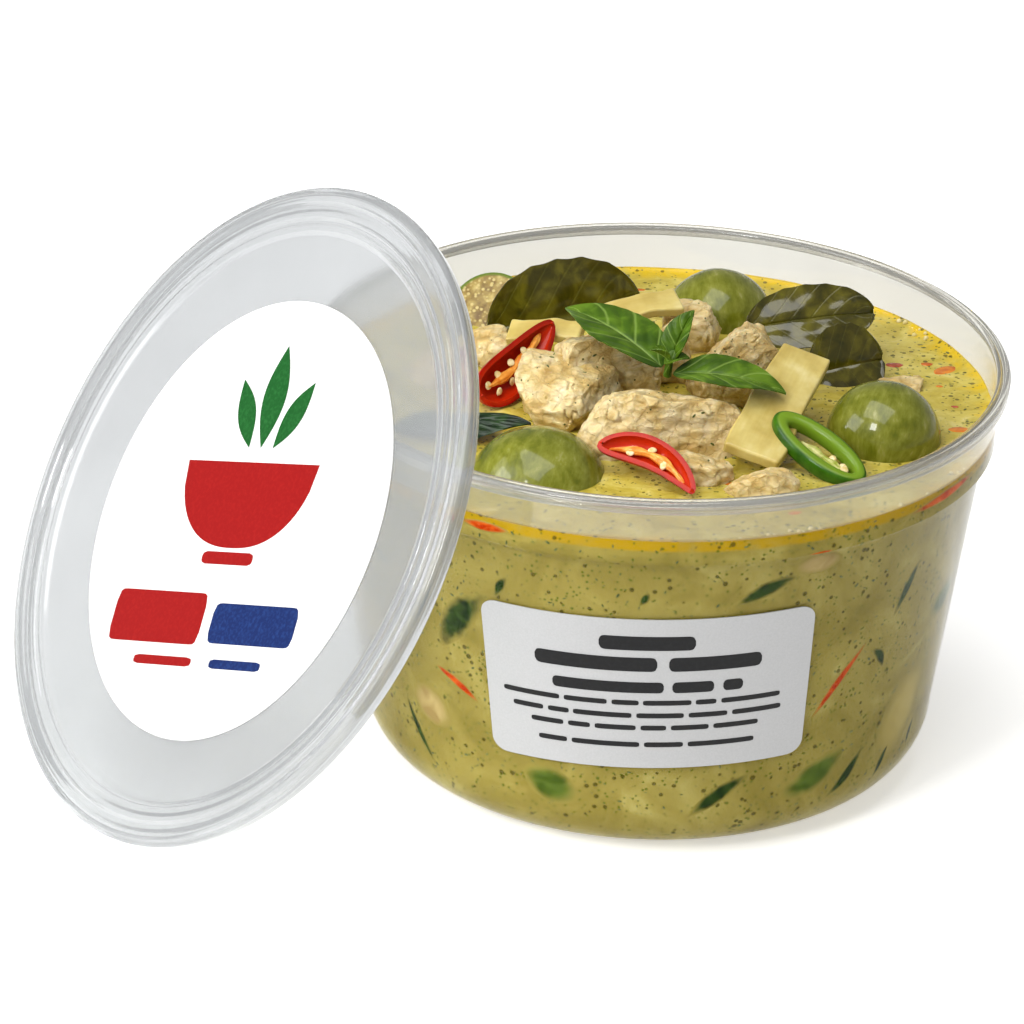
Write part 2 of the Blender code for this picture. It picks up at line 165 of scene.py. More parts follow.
def swell(obj, rule):
    """Pushes each point along its normal by rule(place) millimetres, for places in millimetres."""
    mesh = obj.data
    normals = [Vector(item.vector) for item in mesh.vertex_normals]
    for vert, normal in zip(mesh.vertices, normals):
        vert.co += normal * rule(vert.co / MM) * MM
    mesh.update()
    return obj


def remember(obj, name="own"):
    """Keeps each point's present place, in millimetres, for a pattern that follows the piece."""
    stored = obj.data.attributes.new(name, "FLOAT_VECTOR", "POINT")
    values = []
    for vert in obj.data.vertices:
        values.extend(vert.co / MM)
    stored.data.foreach_set("vector", values)
    return obj


def mark(obj, name, rule):
    """Keeps one number for each point, worked out from its place in millimetres."""
    stored = obj.data.attributes.new(name, "FLOAT", "POINT")
    stored.data.foreach_set("value", [rule(vert.co / MM) for vert in obj.data.vertices])
    return obj


def place(obj, centre, turn=(0, 0, 0)):
    """Puts a piece at its centre in millimetres, turned by degrees, and settles it into its mesh."""
    obj.location = Vector(centre) * MM
    obj.rotation_euler = [math.radians(angle) for angle in turn]
    pick(obj)
    bpy.ops.object.transform_apply(location=True, rotation=True, scale=True)
    return obj


def float_at(obj, centre, turn):
    """Places a piece whose height is counted from the sauce's level."""
    return place(obj, (centre[0], centre[1], LEVEL + centre[2]), turn)


def place_by(obj, matrix):
    obj.data.transform(matrix)
    obj.data.update()
    return obj


def weld(obj, distance=0.00002):
    """Merges doubled points and turns the faces outwards."""
    pick(obj)
    bpy.ops.object.mode_set(mode="EDIT")
    bpy.ops.mesh.select_all(action="SELECT")
    bpy.ops.mesh.remove_doubles(threshold=distance)
    bpy.ops.mesh.normals_make_consistent(inside=False)
    bpy.ops.object.mode_set(mode="OBJECT")
    return obj


def join(parts, name):
    deselect()
    for part in parts:
        part.select_set(True)
    bpy.context.view_layer.objects.active = parts[0]
    if len(parts) > 1:
        bpy.ops.object.join()
    parts[0].name = name
    return parts[0]


def dress(obj, *materials):
    obj.data.materials.clear()
    for material in materials:
        obj.data.materials.append(material)
    return obj


def keep(obj, name, slot, *nodes):
    """Names a finished piece, smooths it, gives it its body, and hides the nodes it stands for. Its slot is
    not used.
    """
    obj.name = obj.data.name = name
    pick(obj)
    bpy.ops.object.shade_smooth_by_angle(angle=SMOOTH_ANGLE)
    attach(obj, "root")
    if nodes:
        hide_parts(*nodes)
    return obj


def soften(points, radius, steps=3):
    """Rounds the corners of an outline: each corner becomes a short curve."""
    rounded = [Vector(points[0])]
    for before, corner, after in zip(points, points[1:], points[2:]):
        before, corner, after = Vector(before), Vector(corner), Vector(after)
        back = min(radius, 0.45 * (before - corner).length)
        on = min(radius, 0.45 * (after - corner).length)
        start = corner + (before - corner).normalized() * back
        end = corner + (after - corner).normalized() * on
        for i in range(steps + 1):
            t = i / steps
            rounded.append(start.lerp(corner, t).lerp(corner.lerp(end, t), t))
    rounded.append(Vector(points[-1]))
    return [(point[0], point[1]) for point in rounded]


def spun(name, outline, steps=TURN_STEPS, closed=False):
    """An outline of (radius, height) in millimetres, spun once round Z."""
    obj = new_from(bpy.ops.mesh.primitive_circle_add, vertices=len(outline), radius=1.0)
    for vert, (radius, height) in zip(obj.data.vertices, outline):
        vert.co = Vector((radius, 0.0, height)) * MM
    if not closed:
        last = {0, len(outline) - 1}
        bpy.ops.object.mode_set(mode="EDIT")
        bpy.ops.mesh.select_mode(type="EDGE")
        bpy.ops.mesh.select_all(action="DESELECT")
        bpy.ops.object.mode_set(mode="OBJECT")
        for edge in obj.data.edges:
            edge.select = set(edge.vertices) == last
        bpy.ops.object.mode_set(mode="EDIT")
        bpy.ops.mesh.delete(type="EDGE_FACE")
        bpy.ops.object.mode_set(mode="OBJECT")
    bpy.ops.object.mode_set(mode="EDIT")
    bpy.ops.mesh.select_all(action="SELECT")
    bpy.ops.mesh.spin(steps=steps, angle=2 * math.pi, center=(0, 0, 0), axis=(0, 0, 1))
    bpy.ops.object.mode_set(mode="OBJECT")
    obj.name = name
    return weld(obj, 0.000005)


def smooth_step(low, high, value):
    t = min(max((value - low) / (high - low), 0.0), 1.0)
    return t * t * (3.0 - 2.0 * t)


# ---------------------------------------------------------------- materials

def linear(hexcode, alpha=1.0):
    """sRGB hex to a linear colour."""
    channels = [int(hexcode[i:i + 2], 16) / 255 for i in (1, 3, 5)]
    channels = [c / 12.92 if c <= 0.04045 else ((c + 0.055) / 1.055) ** 2.4 for c in channels]
    return (*channels, alpha)


def add(tree, kind, sockets=None, **settings):
    """Adds a shader node of this kind, sets its properties, and sets or links each named socket."""
    node = tree.nodes.new("ShaderNode" + kind)
    for key, value in settings.items():
        setattr(node, key, value)
    for key, value in (sockets or {}).items():
        if isinstance(value, bpy.types.NodeSocket):
            tree.links.new(value, node.inputs[key])
        else:
            node.inputs[key].default_value = value
    return node


def ramp(node, stops):
    """Sets a colour ramp's stops from (position, hex) pairs."""
    elements = node.color_ramp.elements
    while len(elements) < len(stops):
        elements.new(0.5)
    for element, (position, hexcode) in zip(elements, stops):
        element.position = position
        element.color = linear(hexcode)
    return node


def principled(name, **sockets):
    """A new material with one Principled shader: returns the material, its tree and the shader."""
    material = bpy.data.materials.new(name)
    material.use_nodes = True
    tree = material.node_tree
    shader = tree.nodes["Principled BSDF"]
    for key, value in sockets.items():
        shader.inputs[key.replace("_", " ")].default_value = value
    return material, tree, shader


def relief(tree, shader, height, distance, strength=1.0):
    bump = add(tree, "Bump", {"Height": height, "Distance": distance * MM, "Strength": strength})
    tree.links.new(bump.outputs["Normal"], shader.inputs["Normal"])


def patchy(tree, shader, scale, detail, *stops):
    """Colours a shader in soft patches of its tones, and returns the pattern and the colour."""
    at = add(tree, "TexCoord").outputs["Object"]
    pattern = add(tree, "TexNoise", {"Vector": at, "Scale": scale, "Detail": detail}).outputs["Fac"]
    tone = ramp(add(tree, "ValToRGB", {"Fac": pattern}), stops).outputs["Color"]
    tree.links.new(tone, shader.inputs["Base Color"])
    return pattern, tone


def clear_polypropylene(name, see_through, bend, colour, paler):
    """Injection-moulded polypropylene: clear but slightly milky, with a soft gloss.
    The milkiness comes from the share that isn't see-through, and lamps pass the thin wall."""
    material, tree, shader = principled(
        name, Base_Color=linear(colour), Roughness=0.09, IOR=bend, Transmission_Weight=see_through,
    )
    patchy(tree, shader, 1 / (60 * MM), 2.0, (0.3, colour), (0.7, paler))
    path = add(tree, "LightPath")
    clear = add(tree, "BsdfTransparent", {"Color": (0.86, 0.87, 0.86, 1.0)})
    mix = add(tree, "MixShader", {
        0: path.outputs["Is Shadow Ray"], 1: shader.outputs["BSDF"], 2: clear.outputs["BSDF"],
    })
    tree.links.new(mix.outputs["Shader"], tree.nodes["Material Output"].inputs["Surface"])
    return material


def coconut_curry_sauce(name, wet, curd, tones, oil):
    """Simmered coconut curry: matt-wet cream tinted yellow-green, with yellow oil gathered at the edge,
    paler coconut swirls, and fine specks of the ground paste. Against the wall it has no gloss of its own."""
    material, tree, shader = principled(
        name, Roughness=0.32, IOR=1.38, Subsurface_Weight=0.12 * wet,
        Subsurface_Radius=(0.006, 0.0045, 0.0015), Subsurface_Scale=0.6, Coat_Weight=0.2 * wet,
        Coat_Roughness=0.08, Specular_IOR_Level=0.5 * wet,
    )
    place_in = add(tree, "TexCoord").outputs["Object"]
    swirl = add(tree, "TexNoise", {
        "Vector": place_in, "Scale": 1 / (curd * MM), "Detail": 6.0, "Roughness": 0.62, "Distortion": 1.0,
    })
    stops = tuple(zip((0.28, 0.46, 0.60, 0.74), tones))
    body = ramp(add(tree, "ValToRGB", {"Fac": swirl.outputs["Fac"]}), stops)
    apart = add(tree, "SeparateXYZ", {"Vector": place_in})
    x_squared = add(tree, "Math", {0: apart.outputs["X"], 1: 2.0}, operation="POWER")
    y_squared = add(tree, "Math", {0: apart.outputs["Y"], 1: 2.0}, operation="POWER")
    squares = add(tree, "Math", {0: x_squared.outputs[0], 1: y_squared.outputs[0]})
    radius = add(tree, "Math", {0: squares.outputs[0]}, operation="SQRT")
    ragged = add(tree, "TexNoise", {
        "Vector": place_in, "Scale": 1 / (17 * MM), "Detail": 5.0, "Distortion": 1.6,
    })
    wander = add(tree, "Math", {0: ragged.outputs["Fac"], 1: 0.026, 2: radius.outputs[0]},
                 operation="MULTIPLY_ADD")
    edge = add(tree, "MapRange", {
        "Value": wander.outputs[0], "From Min": 0.1195, "From Max": 0.1275, "To Max": 0.9,
    }, interpolation_type="SMOOTHSTEP")
    top = add(tree, "MapRange", {
        "Value": apart.outputs["Z"], "From Min": (LEVEL - 4.2) * MM, "From Max": (LEVEL - 2.6) * MM,
    }, interpolation_type="SMOOTHSTEP")
    oily = add(tree, "Math", {0: edge.outputs[0], 1: top.outputs[0]}, operation="MULTIPLY")
    with_oil = add(tree, "Mix", {
        0: oily.outputs[0], 6: body.outputs["Color"], 7: linear(oil),
    }, data_type="RGBA")
    # Specks of herb and spice from about 0.5 to 2 mm across, in cells of 2.2 and 4.4 mm
    for cell, size, colour in ((2.2, 0.20, "#4f5a18"), (4.4, 0.17, "#3d3812")):
        cells = add(tree, "TexVoronoi", {"Vector": place_in, "Scale": 1 / (cell * MM)})
        patch = add(tree, "TexNoise", {"Vector": place_in, "Scale": 1 / (9 * MM), "Detail": 3.0})
        reach = add(tree, "Math", {0: patch.outputs["Fac"], 1: size * 2.0}, operation="MULTIPLY")
        speck = add(tree, "Math", {0: cells.outputs["Distance"], 1: reach.outputs[0]},
                    operation="LESS_THAN")
        faint = add(tree, "Math", {0: speck.outputs[0], 1: 0.75}, operation="MULTIPLY")
        with_oil = add(tree, "Mix", {
            0: faint.outputs[0], 6: with_oil.outputs[2], 7: linear(colour),
        }, data_type="RGBA")
    tree.links.new(with_oil.outputs[2], shader.inputs["Base Color"])
    shine = add(tree, "MapRange", {"Value": oily.outputs[0], "To Min": 0.26, "To Max": 0.08})
    tree.links.new(shine.outputs[0], shader.inputs["Roughness"])
    grain = add(tree, "TexNoise", {"Vector": place_in, "Scale": 1 / (2.6 * MM), "Detail": 6.0})
    relief(tree, shader, grain.outputs["Fac"], 0.8, 0.45)
    return material


def poached_chicken():
    """Chicken breast poached in sauce: cream fibres, moist but not glossy, painted darker gold-brown in the
    hollows and cracks as painted shade.
    """
    material, tree, shader = principled(
        "poached_chicken", Roughness=0.42, IOR=1.40, Subsurface_Weight=0.18,
        Subsurface_Radius=(0.005, 0.003, 0.0015), Subsurface_Scale=0.5, Coat_Weight=0.25,
        Coat_Roughness=0.14,
    )
    own = add(tree, "Attribute", attribute_name="own").outputs["Vector"]
    # Muscle fibres about 1 mm across, drawn out to 2.4 mm along the piece
    along = add(tree, "Mapping", {"Vector": own, "Scale": (0.42, 1.1, 0.9)})
    fibre = add(tree, "TexNoise", {
        "Vector": along.outputs["Vector"], "Scale": 1.0, "Detail": 6.0, "Roughness": 0.65, "Distortion": 0.4,
    })
    # Torn blocks about 4 mm across, parted by fine cracks
    wavy = add(tree, "VectorMath", {0: fibre.outputs["Color"], 1: (2.6, 2.6, 2.6), 2: own},
               operation="MULTIPLY_ADD")
    blocks = add(tree, "TexVoronoi", {"Vector": wavy.outputs[0], "Scale": 0.24},
                 feature="DISTANCE_TO_EDGE")
    crack = add(tree, "MapRange", {
        "Value": blocks.outputs["Distance"], "From Max": 0.11, "To Min": 1.0, "To Max": 0.0,
    }, interpolation_type="SMOOTHSTEP")
    rough = add(tree, "Math", {0: crack.outputs[0], 1: -0.34, 2: fibre.outputs["Fac"]},
                operation="MULTIPLY_ADD")
    blotch = add(tree, "TexNoise", {"Vector": own, "Scale": 0.11, "Detail": 4.0, "Distortion": 0.5})
    both = add(tree, "Mix", {
        0: 0.25, 2: blotch.outputs["Fac"], 3: fibre.outputs["Fac"],
    }, data_type="FLOAT")
    flesh = ramp(add(tree, "ValToRGB", {"Fac": both.outputs[0]}), (
        (0.30, "#bb9450"), (0.42, "#d3b470"), (0.52, "#e2cb92"), (0.66, "#eedeb6"),
    ))
    # Painted shade: the colour turns darker gold-brown in the hollows and along the cracks
    hollow = add(tree, "Attribute", attribute_name="hollow").outputs["Fac"]
    hollow_shade_share = add(tree, "Math", {0: crack.outputs[0], 1: 0.16, 2: hollow}, operation="MULTIPLY_ADD")
    coated = add(tree, "Mix", {
        0: hollow_shade_share.outputs[0], 6: flesh.outputs["Color"], 7: linear("#a98438"),
    }, data_type="RGBA")
    cells = add(tree, "TexVoronoi", {"Vector": own, "Scale": 0.2})
    fleck = add(tree, "Math", {0: cells.outputs["Distance"], 1: 0.075}, operation="LESS_THAN")
    herbed = add(tree, "Mix", {
        0: fleck.outputs[0], 6: coated.outputs[2], 7: linear("#5a5a1e"),
    }, data_type="RGBA")
    tree.links.new(herbed.outputs[2], shader.inputs["Base Color"])
    relief(tree, shader, rough.outputs[0], 1.0, 0.8)
    return material


def aubergine_skin():
    """Cooked round aubergine: taut skin with a wet gloss, olive green with paler streaks from the top."""
    material, tree, shader = principled(
        "aubergine_skin", Roughness=0.24, IOR=1.40, Subsurface_Weight=0.06,
        Subsurface_Radius=(0.002, 0.003, 0.001), Subsurface_Scale=0.5, Coat_Weight=0.5,
        Coat_Roughness=0.03, Specular_IOR_Level=0.25,
    )
    own = add(tree, "Attribute", attribute_name="own").outputs["Vector"]
    apart = add(tree, "SeparateXYZ", {"Vector": own})
    angle = add(tree, "Math", {0: apart.outputs["Y"], 1: apart.outputs["X"]}, operation="ARCTAN2")
    # About 34 streaks round the fruit, broken along their length
    streak_at = add(tree, "CombineXYZ", {"X": angle.outputs[0], "Y": 0.0, "Z": 0.0})
    stretched = add(tree, "Mapping", {"Vector": streak_at.outputs[0], "Scale": (5.4, 1.0, 1.0)})
    low = add(tree, "Mapping", {"Vector": own, "Scale": (0.05, 0.05, 0.12)})
    mixed_at = add(tree, "VectorMath", {0: stretched.outputs[0], 1: low.outputs[0]})
    streak = add(tree, "TexNoise", {
        "Vector": mixed_at.outputs[0], "Scale": 1.0, "Detail": 5.0, "Roughness": 0.7,
    })
    mottle = add(tree, "TexNoise", {"Vector": own, "Scale": 0.16, "Detail": 5.0, "Distortion": 0.6})
    both = add(tree, "Mix", {
        0: 0.45, 2: streak.outputs["Fac"], 3: mottle.outputs["Fac"],
    }, data_type="FLOAT")
    skin = ramp(add(tree, "ValToRGB", {"Fac": both.outputs[0]}), (
        (0.32, "#4c5408"), (0.46, "#666a16"), (0.58, "#7c7e2c"), (0.72, "#a3a166"),
    ))
    tree.links.new(skin.outputs["Color"], shader.inputs["Base Color"])
    relief(tree, shader, streak.outputs["Fac"], 0.3, 0.3)
    return material


def aubergine_cut():
    """The cut face of a cooked aubergine: soft tan flesh full of pale seeds, with a green rind."""
    material, tree, shader = principled(
        "aubergine_cut", Roughness=0.35, IOR=1.40, Subsurface_Weight=0.15,
        Subsurface_Radius=(0.004, 0.003, 0.001), Subsurface_Scale=0.5,
    )
    own = add(tree, "Attribute", attribute_name="own").outputs["Vector"]
    seeds = add(tree, "TexVoronoi", {"Vector": own, "Scale": 0.55})
    tone = add(tree, "TexNoise", {"Vector": own, "Scale": 0.3, "Detail": 4.0})
    flesh = ramp(add(tree, "ValToRGB", {"Fac": tone.outputs["Fac"]}), (
        (0.35, "#6f5526"), (0.55, "#98803f"), (0.70, "#bba866"),
    ))
    near = ramp(add(tree, "ValToRGB", {"Fac": seeds.outputs["Distance"]}), (
        (0.25, "#ffffff"), (0.42, "#000000"),
    ))
    seeded = add(tree, "Mix", {
        0: near.outputs["Color"], 6: flesh.outputs["Color"], 7: linear("#c9b578"),
    }, data_type="RGBA")
    rind = add(tree, "Attribute", attribute_name="rind").outputs["Fac"]
    edged = add(tree, "Mix", {0: rind, 6: seeded.outputs[2], 7: linear("#5f7424")}, data_type="RGBA")
    tree.links.new(edged.outputs[2], shader.inputs["Base Color"])
    relief(tree, shader, near.outputs["Color"], 0.5, 0.5)
    return material


def leaf_surface(name, stops, vein, roughness, coat, ribs, rib_share, mottle_size):
    """A leaf: its tone varies in patches, and a middle rib with side veins runs over it by its own map."""
    material, tree, shader = principled(
        name, Roughness=roughness, IOR=1.42, Coat_Weight=coat, Coat_Roughness=0.08, Specular_IOR_Level=0.25,
        Subsurface_Weight=0.05, Subsurface_Radius=(0.001, 0.002, 0.0005), Subsurface_Scale=0.4,
    )
    texture = add(tree, "TexCoord")
    apart = add(tree, "SeparateXYZ", {"Vector": texture.outputs["UV"]})
    centred = add(tree, "Math", {0: apart.outputs["Y"], 1: 0.5}, operation="SUBTRACT")
    side = add(tree, "Math", {0: centred.outputs[0]}, operation="ABSOLUTE")
    # Side veins leave the rib at a slant: equal steps along the leaf, moved on by the way across
    slant = add(tree, "Math", {0: side.outputs[0], 1: -0.55, 2: apart.outputs["X"]},
                operation="MULTIPLY_ADD")
    steps = add(tree, "Math", {0: slant.outputs[0], 1: float(ribs)}, operation="MULTIPLY")
    phase = add(tree, "Math", {0: steps.outputs[0], 1: 1.0}, operation="PINGPONG")
    side_vein = add(tree, "MapRange", {
        "Value": phase.outputs[0], "From Min": 0.0, "From Max": 0.16, "To Min": 0.75, "To Max": 0.0,
    })
    rib = add(tree, "MapRange", {
        "Value": side.outputs[0], "From Min": 0.006, "From Max": 0.028, "To Min": 1.0, "To Max": 0.0,
    })
    veins = add(tree, "Math", {0: side_vein.outputs[0], 1: rib.outputs[0]}, operation="MAXIMUM")
    shown = add(tree, "Math", {0: veins.outputs[0], 1: rib_share}, operation="MULTIPLY")
    patch = add(tree, "TexNoise", {
        "Vector": texture.outputs["Object"], "Scale": 1 / (mottle_size * MM), "Detail": 5.0, "Distortion": 0.5,
    })
    tone = ramp(add(tree, "ValToRGB", {"Fac": patch.outputs["Fac"]}), stops)
    coloured = add(tree, "Mix", {
        0: shown.outputs[0], 6: tone.outputs["Color"], 7: linear(vein),
    }, data_type="RGBA")
    tree.links.new(coloured.outputs[2], shader.inputs["Base Color"])
    lifted = add(tree, "Math", {0: veins.outputs[0], 1: -0.6, 2: patch.outputs["Fac"]},
                 operation="MULTIPLY_ADD")
    relief(tree, shader, lifted.outputs[0], 0.35, 0.6)
    return material


def bamboo_shoot():
    """Boiled bamboo shoot: pale straw flesh, faintly see-through, with fine fibres along it."""
    material, tree, shader = principled(
        "bamboo_shoot", Roughness=0.34, IOR=1.40, Subsurface_Weight=0.2,
        Subsurface_Radius=(0.004, 0.003, 0.001), Subsurface_Scale=0.5, Coat_Weight=0.15,
        Coat_Roughness=0.15,
    )
    own = add(tree, "Attribute", attribute_name="own").outputs["Vector"]
    # Fibres about 0.9 mm apart
    along = add(tree, "Mapping", {"Vector": own, "Scale": (0.06, 1.1, 1.1)})
    fibre = add(tree, "TexNoise", {"Vector": along.outputs[0], "Scale": 1.0, "Detail": 5.0})
    broad = add(tree, "TexNoise", {"Vector": own, "Scale": 0.09, "Detail": 3.0})
    both = add(tree, "Mix", {
        0: 0.12, 2: broad.outputs["Fac"], 3: fibre.outputs["Fac"],
    }, data_type="FLOAT")
    flesh = ramp(add(tree, "ValToRGB", {"Fac": both.outputs[0]}), (
        (0.32, "#b0984c"), (0.47, "#c0aa5e"), (0.60, "#cdba70"), (0.74, "#dacb8c"),
    ))
    tree.links.new(flesh.outputs["Color"], shader.inputs["Base Color"])
    relief(tree, shader, fibre.outputs["Fac"], 0.12, 0.3)
    return material


def chilli_wall(name, skin, flesh, deep):
    """A chilli's wall: waxy glossy skin outside, wet paler flesh where it is cut and inside."""
    material, tree, shader = principled(
        name, Roughness=0.3, IOR=1.40, Coat_Weight=0.2, Coat_Roughness=0.03, Specular_IOR_Level=0.2,
        Subsurface_Weight=0.08, Subsurface_Radius=(0.003, 0.001, 0.0005), Subsurface_Scale=0.4,
    )
    own = add(tree, "Attribute", attribute_name="own").outputs["Vector"]
    tone = add(tree, "TexNoise", {"Vector": own, "Scale": 0.25, "Detail": 4.0})
    outer = ramp(add(tree, "ValToRGB", {"Fac": tone.outputs["Fac"]}), ((0.35, skin), (0.70, deep)))
    rind = add(tree, "Attribute", attribute_name="rind").outputs["Fac"]
    mixed = add(tree, "Mix", {0: rind, 6: linear(flesh), 7: outer.outputs["Color"]}, data_type="RGBA")
    tree.links.new(mixed.outputs[2], shader.inputs["Base Color"])
    relief(tree, shader, tone.outputs["Fac"], 0.3, 0.25)
    return material


def moist_tissue(name, dark, light, size, roughness=0.3):
    """Soft wet plant tissue, such as placenta, seeds, foam or herb: two close tones in small patches."""
    material, tree, shader = principled(
        name, Roughness=roughness, IOR=1.40, Subsurface_Weight=0.1,
        Subsurface_Radius=(0.002, 0.0015, 0.001), Subsurface_Scale=0.4,
    )
    pattern, _ = patchy(tree, shader, 1 / (size * MM), 4.0, (0.38, dark), (0.64, light))
    relief(tree, shader, pattern, 0.3, 0.4)
    return material


def sunk_under_sauce(name, dark, light, size):
    """Food just under the sauce against the wall: its colour fades into the sauce towards its edge."""
    material, tree, shader = principled(name, Roughness=0.5, Specular_IOR_Level=0.0)
    texture = add(tree, "TexCoord")
    tone = add(tree, "TexNoise", {
        "Vector": texture.outputs["Object"], "Scale": 1 / (size * MM), "Detail": 5.0, "Distortion": 0.8,
    })
    food = ramp(add(tree, "ValToRGB", {"Fac": tone.outputs["Fac"]}), ((0.36, dark), (0.62, light)))
    centred = add(tree, "VectorMath", {0: texture.outputs["UV"], 1: (0.5, 0.5, 0.0)},
                  operation="SUBTRACT")
    reach = add(tree, "VectorMath", {0: centred.outputs[0]}, operation="LENGTH")
    ragged = add(tree, "Math", {0: tone.outputs["Fac"], 1: 0.26, 2: reach.outputs["Value"]},
                 operation="MULTIPLY_ADD")
    cover = add(tree, "MapRange", {
        "Value": ragged.outputs[0], "From Min": 0.34, "From Max": 0.60,
    }, interpolation_type="SMOOTHSTEP")
    # The edge fades to the darker wall tone of the sauce, which carries painted shade
    coated = add(tree, "Mix", {
        0: cover.outputs[0], 6: food.outputs["Color"], 7: linear("#8b7e3d"),
    }, data_type="RGBA")
    tree.links.new(coated.outputs[2], shader.inputs["Base Color"])
    return material


def pooled_oil(name, colour, depth):
    """Chilli oil floating in drops: two deep tones, mirror smooth."""
    material, tree, shader = principled(name, Roughness=0.05, IOR=1.47, Coat_Weight=0.5, Coat_Roughness=0.03)
    patchy(tree, shader, 1 / (3 * MM), 2.0, (0.35, depth), (0.65, colour))
    return material


def coated_label_paper(name, dark, light):
    """Semi-gloss coated label paper, with a fine grain, drawn at 0.6 mm so that it shows."""
    material, tree, shader = principled(name, Roughness=0.38, IOR=1.47)
    grain, _ = patchy(tree, shader, 1 / (0.6 * MM), 2.0, (0.3, dark), (0.7, light))
    relief(tree, shader, grain, 0.02, 0.3)
    return material


def printing_ink(name, colour, worn):
    """Flat printing ink: even, with a very slight thinning that lets a lighter tone through."""
    material, tree, shader = principled(name, Roughness=0.34, IOR=1.5, Specular_IOR_Level=0.2)
    patchy(tree, shader, 1 / (1.2 * MM), 3.0, (0.45, colour), (0.8, worn))
    return material


# ---------------------------------------------------------------- tub, lid and labels

def outer_wall(height):
    """Outer radius of the tub's tapered side."""
    share = (height - CORNER_RADIUS) / (SHOULDER_HEIGHT - CORNER_RADIUS)
    return FOOT_RADIUS + share * (SHOULDER_RADIUS - FOOT_RADIUS)


def inner_wall(height):
    """Inner radius of the tub at a height, from the corner up to the mouth."""
    if height < CORNER_RADIUS:
        corner = CORNER_RADIUS - WALL
        drop = min(CORNER_RADIUS - height, corner)
        return FOOT_RADIUS - CORNER_RADIUS + math.sqrt(corner * corner - drop * drop)
    if height < SHOULDER_HEIGHT - SHOULDER_BELOW:
        return outer_wall(height) - WALL
    collar = COLLAR_RADIUS - COLLAR_DRAFT - WALL
    step = smooth_step(SHOULDER_HEIGHT - SHOULDER_BELOW, SHOULDER_HEIGHT + SHOULDER_ABOVE, height)
    shoulder = SHOULDER_RADIUS - WALL
    return shoulder + step * (collar - shoulder) + 0.02 * max(0.0, height - SHOULDER_HEIGHT - SHOULDER_ABOVE)


def corner_arc(radius, start, end, steps):
    flat = FOOT_RADIUS - CORNER_RADIUS
    points = []
    for i in range(steps + 1):
        angle = math.radians(start + (end - start) * i / steps)
        points.append((flat + radius * math.cos(angle), CORNER_RADIUS + radius * math.sin(angle)))
    return points


def make_tub():
    """The tub, turned: rolled lip with two fine beads, collar, shoulder, tapered side and flat base."""
    top = TUB_HEIGHT
    lip = top - LIP_HEIGHT
    inside = [(0.0, WALL)] + corner_arc(CORNER_RADIUS - WALL, -90, 0, 14)
    inside += [
        (SHOULDER_RADIUS - WALL, SHOULDER_HEIGHT - SHOULDER_BELOW),
        (COLLAR_RADIUS - COLLAR_DRAFT - WALL, SHOULDER_HEIGHT + SHOULDER_ABOVE),
        (MOUTH_RADIUS - 0.54, LEVEL + 0.4),
        (MOUTH_RADIUS - 0.3, lip),
        (MOUTH_RADIUS, top - 0.6), (MOUTH_RADIUS + 0.6, top - 0.05),
        (MOUTH_RADIUS + 1.6, top - 0.05), (MOUTH_RADIUS + 2.0, top - 0.55), (MOUTH_RADIUS + 2.5, top - 0.55),
        (MOUTH_RADIUS + 2.9, top), (RIM_RADIUS - 0.9, top),
        (RIM_RADIUS, top - 0.9), (RIM_RADIUS, top - 2.2), (RIM_RADIUS - 0.35, top - 2.5),
        (RIM_RADIUS - 0.1, top - 2.8), (RIM_RADIUS - 0.1, lip + 0.4), (RIM_RADIUS - 0.5, lip),
        (RIM_RADIUS - 1.1, lip + 0.2), (RIM_RADIUS - 1.3, top - 1.8), (COLLAR_RADIUS + 0.5, top - 1.8),
        (COLLAR_RADIUS, lip),
        (COLLAR_RADIUS - 0.28, LEVEL + 0.4),
        (COLLAR_RADIUS - COLLAR_DRAFT, SHOULDER_HEIGHT + 1.6), (SHOULDER_RADIUS + 1.2, SHOULDER_HEIGHT + 0.5),
        (SHOULDER_RADIUS, SHOULDER_HEIGHT - 1.0),
    ]
    outline = soften(inside, 0.35, 2) + corner_arc(CORNER_RADIUS, 0, -90, 14) + [(0.0, 0.0)]
    tub = spun("tub", outline)
    hazy = clear_polypropylene("clear_polypropylene", 0.90, 1.49, "#d2d0c9", "#d9d8d1")
    wetted = clear_polypropylene("wetted_polypropylene", 1.0, 1.13, "#f6f6f0", "#fafaf4")
    dress(tub, hazy, wetted)
    for face in tub.data.polygons:
        face.material_index = 1 if face.center.z < (LEVEL + 0.5) * MM else 0
    keep(tub, "clear_tub", "clear_plastic", "tub")


def lid_matrix():
    normal = Vector((
        math.cos(LID_ELEVATION) * math.cos(LID_AZIMUTH),
        math.cos(LID_ELEVATION) * math.sin(LID_AZIMUTH),
        math.sin(LID_ELEVATION),
    ))
    across = Vector((0.0, 0.0, 1.0)).cross(normal).normalized()
    up = normal.cross(across)
    turn = Matrix((across, up, normal)).transposed().to_4x4()
    return Matrix.Translation(LID_CENTRE * MM) @ turn


